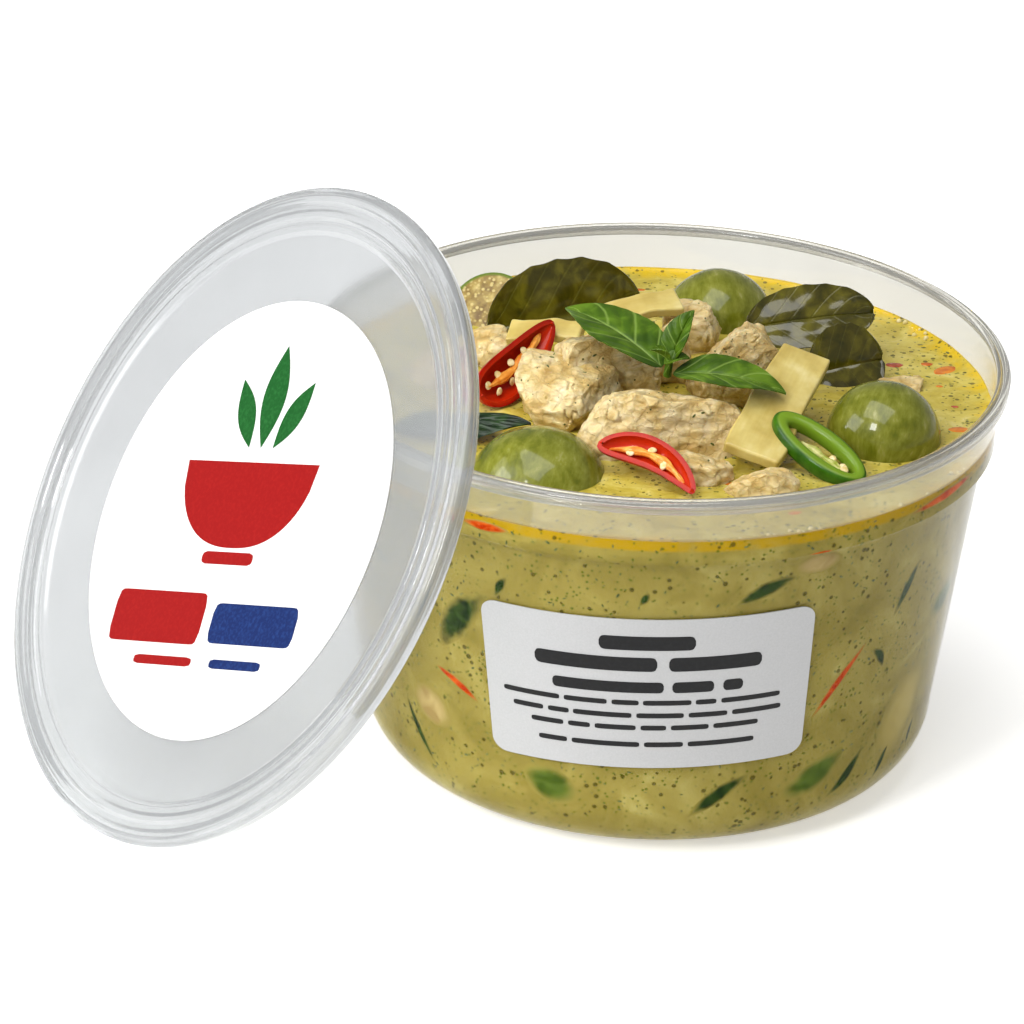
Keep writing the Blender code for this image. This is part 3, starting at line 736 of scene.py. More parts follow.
def make_lid():
    """The lid: flat panel, two stepped rings, a groove, the bead over the rim, and the skirt."""
    outline = [
        (0.0, 0.4), (98.4, 0.4), (100.0, 1.3), (101.5, 1.3), (101.8, 0.95), (102.4, 0.95), (102.7, 1.3),
        (103.6, 1.3), (104.4, 2.3), (107.0, 2.3), (107.8, 1.6), (108.9, 1.7), (109.8, 2.65),
        (111.4, 2.65), (111.8, 2.35), (112.3, 2.35), (112.7, 2.65), (113.8, 2.5), (114.8, 1.9),
        (LID_RADIUS - 0.15, 1.0), (LID_RADIUS - 0.15, -0.5), (114.9, -0.9), (114.7, -1.6),
        (114.1, -LID_SKIRT),
        (113.1, -LID_SKIRT), (113.4, -1.0), (113.5, 0.5), (112.5, 1.4), (110.6, 1.4), (109.7, 0.6),
        (107.4, 0.5), (106.6, 1.2), (105.0, 1.2), (104.2, 0.1), (100.6, 0.1), (99.0, -0.8), (0.0, -0.8),
    ]
    lid = spun("lid", soften(outline, 0.4, 2))
    place_by(lid, lid_matrix())
    dress(lid, clear_polypropylene("milky_polypropylene", 0.70, 1.49, "#b8babb", "#c0c2c3"))
    keep(lid, "clear_lid", "clear_plastic", "lid")


def plate(columns, rows):
    """A flat square plate of small faces from -1 to 1, with its own map."""
    return new_from(bpy.ops.mesh.primitive_grid_add, x_subdivisions=columns, y_subdivisions=rows, size=2.0)


def round_corners(obj, half_width, half_height, corner):
    """Turns the square plate into a rectangle with round corners, in millimetres."""
    def move(co):
        x, y = co.x * half_width, co.y * half_height
        over = Vector((abs(x) - (half_width - corner), abs(y) - (half_height - corner)))
        if over.x > 0 and over.y > 0:
            over *= max(over) / over.length
            x = math.copysign(half_width - corner + over.x, x)
            y = math.copysign(half_height - corner + over.y, y)
        return Vector((x, y, 0.0))
    return reshape(obj, move)


def wrap_on_wall(obj, centre_height, turn, off):
    """Bends a flat plate, in millimetres, onto the tub's side, its middle line facing -Y."""
    def move(co):
        x = co.x * math.cos(turn) - co.y * math.sin(turn)
        height = centre_height + co.x * math.sin(turn) + co.y * math.cos(turn)
        radius = outer_wall(height) + off + co.z
        side = math.asin(x / (outer_wall(centre_height) + off))
        return Vector((radius * math.sin(side), -radius * math.cos(side), height)) * MM
    return reshape(obj, move)


def make_tub_label(paper, ink):
    """The tub's label, wrapped on the side, with bars where its print would be."""
    half_height = 0.5 * (LABEL_TOP - LABEL_BOTTOM)
    middle = 0.5 * (LABEL_TOP + LABEL_BOTTOM)
    label = round_corners(plate(72, 40), LABEL_HALF_WIDTH, half_height, LABEL_CORNER)
    wrap_on_wall(label, middle, LABEL_TURN, LABEL_OFF + LABEL_THICK)
    finish_modifier(label, "SOLIDIFY", thickness=LABEL_THICK * MM, offset=-1.0)
    dress(label, paper)
    keep(label, "tub_label_paper", "label_paper", "tub_label")
    # Each row: height above the label's middle, bar height, and the bars' left and right ends
    rows = (
        (19.8, 5.4, ((-15.4, 15.6),)),
        (11.6, 5.4, ((-36.4, 3.4), (7.2, 37.0))),
        (2.6, 4.2, ((-31.0, 5.6), (8.4, 22.0), (25.0, 31.4))),
        (-3.4, 1.9, (
            (-47.5, -29.0), (-27.5, -13.2), (-11.6, -2.6), (-1.2, 14.8), (16.2, 23.0), (24.6, 43.8),
        )),
        (-8.4, 1.9, (
            (-44.6, -34.6), (-33.0, -26.0), (-24.6, -5.0), (-3.4, 12.4), (14.0, 26.8), (28.4, 44.4),
        )),
        (-13.2, 1.9, (
            (-38.8, -28.0), (-26.4, -19.0), (-17.4, -3.6), (-2.0, 6.6), (8.2, 20.8), (22.4, 37.2),
        )),
        (-19.8, 1.9, ((-36.6, -27.0), (-25.4, -2.4), (-0.8, 12.4), (14.0, 36.2))),
    )
    bars = []
    for height, thick, spans in rows:
        for left, right in spans:
            grid = plate(max(3, int(right - left)), 3)
            bar = round_corners(grid, 0.5 * (right - left), 0.5 * thick, 0.35 * thick)
            reshape(bar, lambda co: co + Vector((0.5 * (left + right), height, 0.0)))
            bars.append(wrap_on_wall(bar, middle, LABEL_TURN, LABEL_OFF + LABEL_THICK + PRINT_OFF))
    printed = join(bars, "tub_label_print")
    finish_modifier(printed, "SOLIDIFY", thickness=0.05 * MM, offset=-1.0)
    dress(printed, ink)
    keep(printed, "tub_label_print", "label_paper")


def on_sticker(obj, x, y, turn=0.0, off=PRINT_OFF):
    """Lays a flat shape, in millimetres, on the lid's sticker."""
    middle = Matrix.Translation(Vector((*STICKER_OFFSET, STICKER_FACE + off)) * MM)
    lay = Matrix.Rotation(math.radians(PRINT_TURN), 4, "Z") @ Matrix.Translation(Vector((x, y, 0.0)) * MM)
    spin = Matrix.Rotation(math.radians(turn), 4, "Z") @ Matrix.Scale(MM, 4)
    obj.data.transform(lid_matrix() @ middle @ lay @ spin)
    obj.data.update()
    return obj


def make_sticker(paper, inks):
    """The lid's round sticker with a simple bowl-and-leaves picture and plain bars below it."""
    disc = new_from(bpy.ops.mesh.primitive_circle_add, vertices=TURN_STEPS, radius=STICKER_RADIUS,
                    fill_type="TRIFAN")
    # The disc is still in millimetres here, and on_sticker brings it to its size
    finish_modifier(disc, "SOLIDIFY", thickness=LABEL_THICK, offset=-1.0)
    on_sticker(disc, 0, 0, off=0.0)
    dress(disc, paper)
    keep(disc, "lid_sticker_paper", "label_paper", "lid_label")
    bowl = plate(48, 24)
    reshape(bowl, lambda co: Vector((
        36.0 * co.x, -30.0 * math.sqrt(max(0.0, 1.0 - abs(co.x) ** 2.4)) * (0.5 - 0.5 * co.y), 0.0,
    )))
    foot = round_corners(plate(12, 4), 14.0, 2.2, 2.0)
    reshape(foot, lambda co: co + Vector((0.0, -33.6, 0.0)))
    red = [on_sticker(bowl, 0, 20), on_sticker(foot, 0, 20)]
    red.append(on_sticker(round_corners(plate(24, 4), 25.0, 9.0, 3.0), -29, -35))
    red.append(on_sticker(round_corners(plate(12, 4), 16.0, 1.6, 1.5), -20, -50))
    greens = []
    for x, y, turn, length in ((-5, 25, 118, 27), (8, 25, 60, 27), (1.5, 25, 90, 36)):
        leaf = plate(20, 10)
        reshape(leaf, lambda co: Vector((
            0.5 * length * (co.x + 1.0), 0.17 * length * co.y * math.sin(0.5 * math.pi * (co.x + 1.0)), 0.0,
        )))
        greens.append(on_sticker(leaf, x, y, turn, off=0.05 + 0.004 * length))
    blues = [on_sticker(round_corners(plate(24, 4), 23.0, 7.0, 3.0), 24, -36)]
    blues.append(on_sticker(round_corners(plate(12, 4), 14.0, 1.6, 1.5), 20, -50))
    for name, parts in (("red", red), ("green", greens), ("blue", blues)):
        printed = join(parts, "lid_sticker_%s" % name)
        finish_modifier(printed, "SOLIDIFY", thickness=0.04 * MM, offset=-1.0)
        dress(printed, inks[name])
        keep(printed, "lid_sticker_%s" % name, "label_paper")


# ---------------------------------------------------------------- the curry and what floats on it

def sauce_height(x, y):
    """Height of the sauce at a place, in millimetres: low swells, a lumpy middle, and a rise at the wall."""
    radius = math.hypot(x, y)
    swell_height = 0.45 * noise.noise(Vector((x / 19, y / 19, 4.2)))
    lumps = 0.9 * noise.noise(Vector((x / 6, y / 6, 1.7))) * smooth_step(92, 60, radius)
    rise = 1.0 * math.exp((radius - inner_wall(LEVEL)) / 1.7)
    return LEVEL - 0.7 + swell_height + lumps + rise


def make_curry():
    """The body of sauce: it reaches just into the wall, and its top has swells and a raised edge."""
    edge = inner_wall(LEVEL) + INTO_WALL
    outline = [(0.0, WALL - INTO_WALL)] + corner_arc(CORNER_RADIUS - WALL + INTO_WALL, -90, 0, 12)
    steps = 40
    for i in range(1, steps + 1):
        height = CORNER_RADIUS + (LEVEL - CORNER_RADIUS) * i / steps
        outline.append((inner_wall(height) + INTO_WALL, height))
    rings = 84
    for i in range(1, rings):
        outline.append((edge * (1.0 - i / rings) ** 0.85, LEVEL))
    outline.append((0.0, LEVEL))
    curry = spun("curry", outline, steps=240)

    def rise(co):
        if co.z < (LEVEL - 0.05) * MM:
            return co
        height = sauce_height(co.x / MM, co.y / MM)
        return Vector((co.x, co.y, height * MM))
    reshape(curry, rise)
    # The second copy of the sauce, for the faces that don't face up, has darker tones and a darker oil:
    # painted shade
    dress(curry, coconut_curry_sauce(
        "coconut_curry_sauce", 1.0, 15, ("#a5922c", "#bba842", "#ccbb5c", "#dccf8c"), "#d2ae04",
    ), coconut_curry_sauce(
        "sauce_behind_wall_shaded", 0.0, 26, ("#7c6f30", "#887b3a", "#958846", "#a89d5c"), "#a8860a",
    ))
    for face in curry.data.polygons:
        face.material_index = 0 if face.normal.z > 0.35 else 1
    keep(curry, "curry_sauce_body", "curry_sauce", "curry")
    return curry


def scattered(name, shape, sites):
    """One mesh of many copies of a small shape, each placed by its own matrix."""
    points, faces = [], []
    base_points = [vert.co.copy() for vert in shape.data.vertices]
    base_faces = [tuple(face.vertices) for face in shape.data.polygons]
    for site in sites:
        start = len(points)
        points.extend(site @ co for co in base_points)
        faces.extend(tuple(start + index for index in face) for face in base_faces)
    bpy.data.objects.remove(shape)
    mesh = bpy.data.meshes.new(name)
    mesh.from_pydata(points, [], faces)
    obj = bpy.data.objects.new(name, mesh)
    bpy.context.scene.collection.objects.link(obj)
    return obj


def flake(seed):
    """A flat scrap of herb, about a millimetre and a half long."""
    shape = new_from(bpy.ops.mesh.primitive_ico_sphere_add, subdivisions=1, radius=0.5 * MM)
    return reshape(shape, lambda co: Vector((
        co.x * (1.5 + 0.5 * noise.noise(co * 900 + Vector((seed, 0, 0)))), co.y * 0.7, co.z * 0.32,
    )))


def stand_on(point, normal, size, spin):
    """A matrix that lays a small shape on a surface."""
    turn = normal.to_track_quat("Z", "Y").to_matrix().to_4x4()
    return Matrix.Translation(point) @ turn @ Matrix.Rotation(spin, 4, "Z") @ Matrix.Scale(size, 4)


def drop_onto(targets, x, y):
    """The highest point of the pieces under a place in millimetres, with its normal."""
    best = None
    start = Vector((x * MM, y * MM, 0.4))
    for target in targets:
        hit, point, normal, _ = target.ray_cast(start, Vector((0, 0, -1)))
        if hit and (best is None or point.z > best[0].z):
            best = (point, normal)
    return best


def make_herb_flecks(curry, chickens, herb):
    """Chopped herb over the sauce, on the chicken and against the wall."""
    rng = random.Random(11)
    sites = []
    for _ in range(1500):
        radius = 111.0 * math.sqrt(rng.random())
        angle = rng.uniform(0, 2 * math.pi)
        found = drop_onto([curry], radius * math.cos(angle), radius * math.sin(angle))
        size = 0.35 + 1.1 * rng.random() ** 3
        sites.append(stand_on(*found, size, rng.uniform(0, 6.3)))
    for _ in range(420):
        x, y = rng.uniform(-62, 60), rng.uniform(-76, 52)
        found = drop_onto(chickens, x, y)
        if found:
            sites.append(stand_on(*found, 0.35 + 0.9 * rng.random() ** 3, rng.uniform(0, 6.3)))
    for _ in range(4200):
        height = rng.uniform(6.0, LEVEL - 1.0)
        angle = rng.uniform(0, 2 * math.pi)
        radius = inner_wall(height) + INTO_WALL
        out = Vector((math.cos(angle), math.sin(angle), -0.14)).normalized()
        point = Vector((radius * math.cos(angle), radius * math.sin(angle), height)) * MM
        sites.append(stand_on(point, out, 0.38 + 1.0 * rng.random() ** 4, rng.uniform(0, 6.3)))
    flecks = scattered("herb_flecks", flake(3), sites)
    dress(flecks, herb)
    keep(flecks, "herb_flecks", "cooked_basil")


def make_oil_drops(curry):
    """Flat drops of orange and red oil on the sauce, as low domes."""
    drops = {
        "orange": (
            (97, 36, 4.6, 2.8, 40), (101, -13, 3.6, 2.2, 10), (91, 41, 2.0, 1.4, 0), (26, -64, 3.0, 1.6, 20),
            (22, -58, 2.2, 1.2, -30), (-44, -42, 2.6, 1.6, 60), (88, 12, 1.0, 0.7, 0), (70, 62, 1.6, 1.0, 20),
            (60, 72, 1.2, 0.8, 0), (-8, 96, 2.0, 1.0, 0), (34, 88, 1.6, 0.9, 15), (95, 22, 1.2, 0.8, 0),
            (46, -84, 2.4, 1.2, 25), (-14, -84, 2.0, 1.1, 0), (-96, 12, 1.8, 1.0, 70), (-88, 30, 1.2, 0.8, 0),
        ),
        "red": ((80, 39, 3.0, 2.0, 0), (64, 50, 1.4, 0.9, 0), (100, 6, 1.3, 0.8, 0), (-70, -40, 1.6, 1.0, 0)),
    }
    tones = {"orange": ("#d9811c", "#b9560e"), "red": ("#b5502a", "#8c3416")}
    for tone, sites in drops.items():
        domes = []
        for x, y, long, short, turn in sites:
            dome = new_from(bpy.ops.mesh.primitive_uv_sphere_add, segments=24, ring_count=12, radius=1.0)
            reshape(dome, lambda co: Vector((
                co.x * long * (1.0 + 0.25 * noise.noise(co + Vector((x, y, 0)))), co.y * short, co.z * 0.28,
            )) * MM)
            domes.append(place(dome, (x, y, sauce_height(x, y) + 0.02), (0, 0, turn)))
        pool = join(domes, "oil_drops_%s" % tone)
        dress(pool, pooled_oil("chilli_oil_%s" % tone, *tones[tone]))
        keep(pool, "oil_drops_%s" % tone, "curry_sauce")


def make_bubbles():
    """Small bubbles of coconut foam gathered at the wall."""
    rng = random.Random(5)
    sites = []
    # Each cluster: its direction and spread in degrees, with its count of bubbles between
    clusters = ((38, 7, 3.0), (52, 5, 4.0), (110, 10, 6.0), (165, 14, 8.0), (-25, 8, 5.0), (300, 10, 9.0))
    for centre, count, spread in clusters:
        for _ in range(count):
            angle = math.radians(centre + rng.gauss(0, spread))
            radius = inner_wall(LEVEL) - abs(rng.gauss(0, 1.6)) - 0.4
            x, y = radius * math.cos(angle), radius * math.sin(angle)
            size = rng.uniform(0.35, 1.0)
            at = Vector((x, y, sauce_height(x, y) + 0.1)) * MM
            sites.append(Matrix.Translation(at) @ Matrix.Scale(size, 4))
    ball = new_from(bpy.ops.mesh.primitive_ico_sphere_add, subdivisions=3, radius=1.0 * MM)
    foam = scattered("foam_bubbles", ball, sites)
    dress(foam, moist_tissue("coconut_foam", "#cdbb74", "#ddd09a", 2.0, 0.15))
    keep(foam, "foam_bubbles", "curry_sauce")


def wall_patch(angle, height, length, width, tilt, proud=0.22, pinch=0.0, bend=0.0):
    """A soft-edged piece lying against the wall under the sauce: an oval that bulges just past it.
    Angles are in degrees from the label's side; lengths are in millimetres."""
    patch = plate(36, 20)

    def move(co):
        along, across = co.x, co.y
        narrow = 1.0 - pinch * along * along
        s = 0.5 * length * along
        t = 0.5 * width * across * narrow + bend * (1.0 - along * along)
        turned_s = s * math.cos(math.radians(tilt)) - t * math.sin(math.radians(tilt))
        turned_t = s * math.sin(math.radians(tilt)) + t * math.cos(math.radians(tilt))
        z = height + turned_t
        reach = min(1.0, along * along + across * across)
        radius = inner_wall(z) + INTO_WALL + proud * (1.0 - 1.6 * reach * reach)
        side = math.radians(angle) + turned_s / radius
        return Vector((radius * math.sin(side), -radius * math.cos(side), z)) * MM
    return reshape(patch, move)


def make_sunk_pieces():
    """What shows through the wall under the sauce: leaves, chilli, aubergine, bamboo and chicken."""
    kinds = {
        "sunk_leaves": ("cooked_basil", ("#14250b", "#2f4418"), 5, (
            (-36, 81, 36, 13, 52, 0.22, 0.45, 2.0), (-27.2, 99, 11, 4, 62, 0.22, 0.5, 0.5),
            (20.5, 103.5, 27, 6.4, 24, 0.22, 0.7, 1.2), (53, 90, 24, 5.0, 62, 0.22, 0.6, 0.5),
            (47.5, 66, 13, 4.6, 128, 0.22, 0.6, -1.6), (15, 24.5, 29, 6.4, 38, 0.22, 0.7, 0.8),
            (55.5, 21, 15, 3.4, 60, 0.22, 0.6, 0.6), (66.5, 25, 12, 3.0, 72, 0.22, 0.6, 0.4),
            (43.5, 24, 26, 5.2, 48, 0.24, 0.7, -2.0), (-50, 30, 30, 3.6, -58, 0.22, 0.7, -1.6),
            (-58, 92, 16, 4.0, -30, 0.2, 0.6, 0.5), (-1, 102.6, 6, 3.4, 60, 0.2, 0.2, 0.0),
            (110, 80, 26, 7, 40, 0.22, 0.5, 1.0), (150, 50, 30, 6, -30, 0.22, 0.6, 1.5),
            (190, 90, 24, 6, 15, 0.22, 0.6, 1.0), (225, 40, 28, 7, 65, 0.22, 0.5, 1.2),
            (255, 85, 22, 5, -50, 0.22, 0.6, 1.0), (95, 35, 22, 5, 70, 0.22, 0.6, 1.0),
        )),
        "sunk_aubergine": ("aubergine", ("#384b12", "#566826"), 9, (
            (-18.5, 26, 23, 15, -24, 0.24, 0.2, 0.0), (35.5, 27.5, 30, 13, 30, 0.22, 0.3, -1.0),
            (70, 74, 24, 14, 10, 0.20, 0.2, 0.0), (130, 95, 30, 20, 0, 0.22, 0.1, 0.0),
            (205, 66, 32, 24, 20, 0.22, 0.1, 0.0), (270, 52, 30, 20, -10, 0.22, 0.1, 0.0),
        )),
        "sunk_chilli": ("red_chilli", ("#a32c06", "#cc5a1c"), 6, (
            (38.5, 62, 36, 3.4, 52, 0.24, 0.55, 0.8), (-38.5, 55, 22, 3.6, -26, 0.22, 0.5, 1.0),
            (-29, 122.4, 20, 4.0, 1, 0.24, 0.4, 0.0), (58, 122.6, 44, 4.0, 2, 0.24, 0.5, 0.0),
            (29, 117, 12, 2.4, 4, 0.20, 0.4, 0.0), (140, 58, 28, 3.6, 34, 0.22, 0.5, 1.0),
            (240, 70, 26, 3.6, -48, 0.22, 0.5, 1.0), (180, 122.5, 40, 3.6, 0, 0.22, 0.5, 0.0),
        )),
        "sunk_bamboo": ("bamboo", ("#a08f4a", "#ab9a55"), 12, (
            (60, 38, 40, 26, 64, 0.20, 0.1, 0.0), (165, 80, 44, 22, 20, 0.20, 0.1, 0.0),
            (-64, 60, 30, 20, 70, 0.20, 0.1, 0.0), (285, 60, 36, 22, 60, 0.20, 0.1, 0.0),
        )),
        "sunk_chicken": ("chicken", ("#957e4c", "#b09b66"), 8, (
            (-46, 42, 21, 16, -20, 0.24, 0.1, 0.0), (30, 112, 20, 9, 4, 0.18, 0.2, 0.0),
            (120, 40, 34, 24, 10, 0.22, 0.1, 0.0), (215, 100, 30, 20, -15, 0.22, 0.1, 0.0),
            (180, 30, 34, 20, 5, 0.22, 0.1, 0.0), (-75, 90, 26, 18, 20, 0.20, 0.1, 0.0),
        )),
    }
    for name, (slot, tones, size, patches) in kinds.items():
        piece = join([wall_patch(*patch) for patch in patches], name)
        finish_modifier(piece, "SOLIDIFY", thickness=0.6 * MM, offset=-1.0)
        dress(piece, sunk_under_sauce(name + "_in_sauce", *tones, size))
        keep(piece, name, slot)


# ---------------------------------------------------------------- the pieces of food

CHICKEN = (
    # node, centre, size, turn, seed, refinement; millimetres and degrees
    ("chicken_peak", (26, 5, 9), (30, 26, 34), (0, 8, 20), 4, 4),
    ("chicken_top", (-18, 2, 10), (34, 28, 30), (0, 0, 25), 3, 4),
    ("chicken_middle", (3, 19, 8), (18, 17, 26), (0, 0, 0), 6, 3),
    ("chicken_large", (1, -38, 5), (54, 26, 30), (-14, 0, 8), 1, 4),
    ("chicken_left", (-31, -13, 4), (34, 34, 28), (0, 0, -20), 2, 4),
    ("chicken_back", (10, 49, 6), (24, 17, 22), (0, 0, 10), 5, 3),
    ("chicken_far_left", (-57, 31, 2), (19, 18, 18), (0, 0, 0), 7, 3),
    ("chicken_near", (16, -60, 0.5), (20, 15, 15), (0, 0, 0), 8, 3),
    ("chicken_rim", (34, -70, 0.5), (23, 13, 14), (0, 0, -10), 9, 3),
    ("chicken_right", (82, 22, -3), (20, 14, 12), (0, 0, 5), 10, 3),
    ("chicken_side", (-76, 12, 1), (17, 20, 18), (0, 0, 0), 11, 3),
)


def chicken_chunk(node, centre, size, turn, seed, levels, meat):
    """A torn block of chicken: flat cut faces with soft corners, lumps, ridges, grain and cracks."""
    obj = new_from(bpy.ops.mesh.primitive_cube_add, size=2.0)
    subdivide(2)

    def knead(co):
        direction = co.normalized()
        rounded = co.lerp(direction, 0.48)
        uneven = noise.noise(direction * 1.3 + Vector((seed * 3.1, seed * 1.7, seed * 0.9)))
        return rounded * (1.06 + 0.44 * uneven)
    reshape(obj, knead)
    refine(obj, levels)
    rng = random.Random(seed)
    cuts = []
    for _ in range(9):
        facing = Vector((rng.gauss(0, 1), rng.gauss(0, 1), rng.gauss(0, 0.9))).normalized()
        cuts.append((facing, rng.uniform(0.66, 0.90)))

    def chop(co):
        for facing, far in cuts:
            over = co.dot(facing) - far
            if over > 0:
                co = co - facing * over * 0.86
        return Vector((co.x * size[0], co.y * size[1], co.z * size[2])) * 0.5 * MM
    reshape(obj, chop)
    shift = Vector((seed * 7.7, seed * 2.3, seed * 5.9))

    def torn(place_at):
        broad = noise.noise(place_at / 8.0 + shift)
        lumps = noise.noise(Vector((place_at.x / 4.2, place_at.y / 2.8, place_at.z / 2.8)) + shift)
        drawn = Vector((place_at.x / 8, place_at.y / 4, place_at.z / 4))
        ridges = 1.0 - 2.6 * abs(noise.noise(drawn - shift))
        grain = noise.noise(place_at / 1.3 + shift)
        crack = smooth_step(0.09, 0.0, abs(noise.noise(place_at / 4.5 - shift)))
        crack *= smooth_step(0.0, 0.3, broad)
        return 0.8 * broad + 0.75 * lumps + 0.35 * ridges - 0.3 + 0.24 * grain - 0.8 * crack
    swell(obj, torn)
    remember(obj)
    # hollow: how deep each point lies in a dip, used to paint shade into the meat's colour
    mark(obj, "hollow", lambda co: 0.55 * smooth_step(0.0, -1.3, torn(co)))
    float_at(obj, centre, turn)
    dress(obj, meat)
    return keep(obj, node + "_meat", "chicken", node)


def make_chicken():
    meat = poached_chicken()
    return [chicken_chunk(*row, meat) for row in CHICKEN]


def aubergine(node, radius, centre, tilt, skin):
    """A whole cooked aubergine: not quite round, with shallow lobes and a dimpled scar at its end."""
    obj = new_from(bpy.ops.mesh.primitive_uv_sphere_add, segments=64, ring_count=40, radius=radius * MM)

    def lobes(co):
        angle = math.atan2(co.y, co.x)
        height = co.z / (radius * MM)
        share = 1.0 + 0.012 * math.cos(5 * angle + radius) * (1 - height * height)
        share += 0.014 * noise.noise(co / (radius * 0.6 * MM))
        scar = 0.05 * math.exp(-((math.hypot(co.x, co.y) / (0.12 * radius * MM)) ** 2)) * (height > 0)
        return Vector((co.x * share, co.y * share, co.z * (0.97 * share - scar)))
    reshape(obj, lobes)
    remember(obj)
    float_at(obj, centre, tilt)
    dress(obj, skin)
    return keep(obj, node + "_skin", "aubergine", node)


def make_aubergines():
    skin = aubergine_skin()
    aubergine("aubergine_front", 24.8, (-38.5, -57.0, -12.0), (-50, 18, 0), skin)
    aubergine("aubergine_right", 19.4, (75.5, -23.0, 0.0), (-46, 14, 0), skin)
    aubergine("aubergine_back", 19.2, (19.6, 78.5, -4.5), (-48, -14, 0), skin)
    half = new_from(bpy.ops.mesh.primitive_uv_sphere_add, segments=48, ring_count=32, radius=14.0 * MM)

    def cut_flat(co):
        if co.z <= 0.0:
            return co
        dished = 0.6 * noise.noise(co / (3.0 * MM)) * MM
        return Vector((co.x, co.y, co.z * 0.10 + dished * (1 - (co.xy.length / (14.0 * MM)) ** 2)))
    reshape(half, cut_flat)
    remember(half)
    mark(half, "rind", lambda co: max(smooth_step(0.2, -0.6, co.z), smooth_step(12.2, 13.2, co.xy.length)))
    float_at(half, (-59, 64, 3.5), (40, -14, 0))
    dress(half, aubergine_cut())
    keep(half, "aubergine_half_cut", "aubergine_flesh", "aubergine_half")


def leaf_blade(length, width, form, thick=0.4, columns=72, rows=40):
    """A leaf of a grid: form gives its half-width share and its height at a place along and across."""
    blade = plate(columns, rows)

    def move(co):
        along = 0.5 * (co.x + 1.0)
        share, lift = form(along, co.y)
        return Vector((along * length, co.y * share * 0.5 * width, lift)) * MM
    reshape(blade, move)
    finish_modifier(blade, "SOLIDIFY", thickness=thick * MM, offset=0.0)
    return blade


def basil_form(fold, droop, ripple, ribs=7, quilt=0.5):
    """A pointed oval with a sunken middle rib, blistered between its side veins, finely toothed."""
    def form(along, across):
        share = 0.03 + 0.97 * math.sin(math.pi * along ** 0.8) ** 0.8
        share *= 1.0 + 0.012 * math.sin(64.0 * along)
        lift = fold * abs(across) * math.sin(math.pi * along) - droop * (2 * along - 1) ** 2
        lift += ripple * math.sin(9.0 * along) * across * across
        phase = math.pi * ribs * (along - 0.28 * abs(across))
        blister = abs(math.sin(phase)) * math.sin(math.pi * min(1.0, abs(across)))
        lift += quilt * blister * math.sin(math.pi * along)
        return share, lift - 0.35 * math.exp(-(across / 0.05) ** 2)
    return form


def lime_form(fold, curl, wave=0.5):
    """A broad thick leaf with round ends, a scalloped edge and a faint wave."""
    def form(along, across):
        share = max(0.12, math.sqrt(max(0.0, 1.0 - abs(2.0 * along - 1.0) ** 2.2)))
        share *= 1.0 - 0.035 * abs(math.sin(19.0 * along)) * abs(across)
        lift = fold * abs(across) - curl * (2 * along - 1) ** 2
        lift += wave * noise.noise(Vector((along * 5, across * 2, fold)))
        return share, lift - 0.3 * math.exp(-(across / 0.04) ** 2)
    return form


def make_basil_sprig(fresh):
    """The fresh sprig on top: three leaves, two folded young leaves, and the short stem."""
    centre = (3.0, -27.0, LEVEL + 24.0)
    blades = (
        (44.0, 25.0, basil_form(2.5, 3.0, 0.8), (1.0, -26.0, 26.5), (0, -10, 139)),
        (38.0, 19.0, basil_form(2.2, 3.0, 0.6), (5.0, -29.0, 25.5), (8, 7, -4)),
        (19.0, 10.0, basil_form(3.0, 1.0, 0.3, ribs=5), (3.0, -26.0, 26.0), (0, -52, 52)),
        (9.0, 6.0, basil_form(2.0, 0.5, 0.1, ribs=4, quilt=0.15), (1.5, -28.5, 26.5), (10, -6, 20)),
        (8.0, 5.0, basil_form(2.0, 0.5, 0.1, ribs=4, quilt=0.15), (3.5, -27.5, 27.5), (0, -34, 200)),
    )
    parts = []
    for length, width, form, where, turn in blades:
        blade = leaf_blade(length, width, form, thick=0.35)
        parts.append(float_at(blade, where, turn))
    stem = new_from(bpy.ops.mesh.primitive_cylinder_add, vertices=20, radius=1.3 * MM, depth=7.0 * MM)
    reshape(stem, lambda co: Vector((co.x * (1.0 - 30 * co.z), co.y * (1.0 - 30 * co.z), co.z)))
    finish_modifier(stem, "BEVEL", width=0.4 * MM, segments=3)
    parts.append(place(stem, centre, (10, 6, 0)))
    sprig = join(parts, "basil_sprig_leaves")
    dress(sprig, fresh)
    keep(sprig, "basil_sprig_leaves", "basil", "basil_sprig")


def make_leaves():
    fresh = leaf_surface(
        "fresh_basil_leaf", ((0.34, "#2e4a04"), (0.5, "#3f5c08"), (0.66, "#5a7818")), "#86a04a",
        0.42, 0.06, 7, 0.8, 9,
    )
    make_basil_sprig(fresh)
    lime = leaf_surface(
        "cooked_lime_leaf", ((0.32, "#2b2a03"), (0.5, "#423d06"), (0.70, "#605a14")), "#6c6a28",
        0.15, 0.7, 12, 0.22, 7,
    )
    rows = (
        ("lime_leaf_left", 56.0, 40.0, (-59, 50, 1.5), (66, -4, 22)),
        ("lime_leaf_right", 44.0, 24.0, (29, 38, 12.0), (42, -6, 9)),
        ("lime_leaf_small", 26.0, 30.0, (51, 20, 3.0), (62, -8, 16)),
    )
    for node, length, width, where, turn in rows:
        blade = leaf_blade(length, width, lime_form(2.0, 2.0), thick=0.6)
        float_at(blade, where, turn)
        dress(blade, lime)
        keep(blade, node + "_blade", "lime_leaf", node)
    wilted = leaf_surface(
        "wilted_basil_leaf", ((0.34, "#081606"), (0.52, "#12290c"), (0.70, "#274318")), "#2c4a1e",
        0.28, 0.4, 8, 0.5, 5,
    )
    blade = leaf_blade(46.0, 15.0, basil_form(-2.0, 3.0, 1.0, quilt=1.4))
    float_at(blade, (-88, -36, 4.0), (14, -5, 0))
    dress(blade, wilted)
    keep(blade, "cooked_basil_blade", "cooked_basil", "cooked_basil")


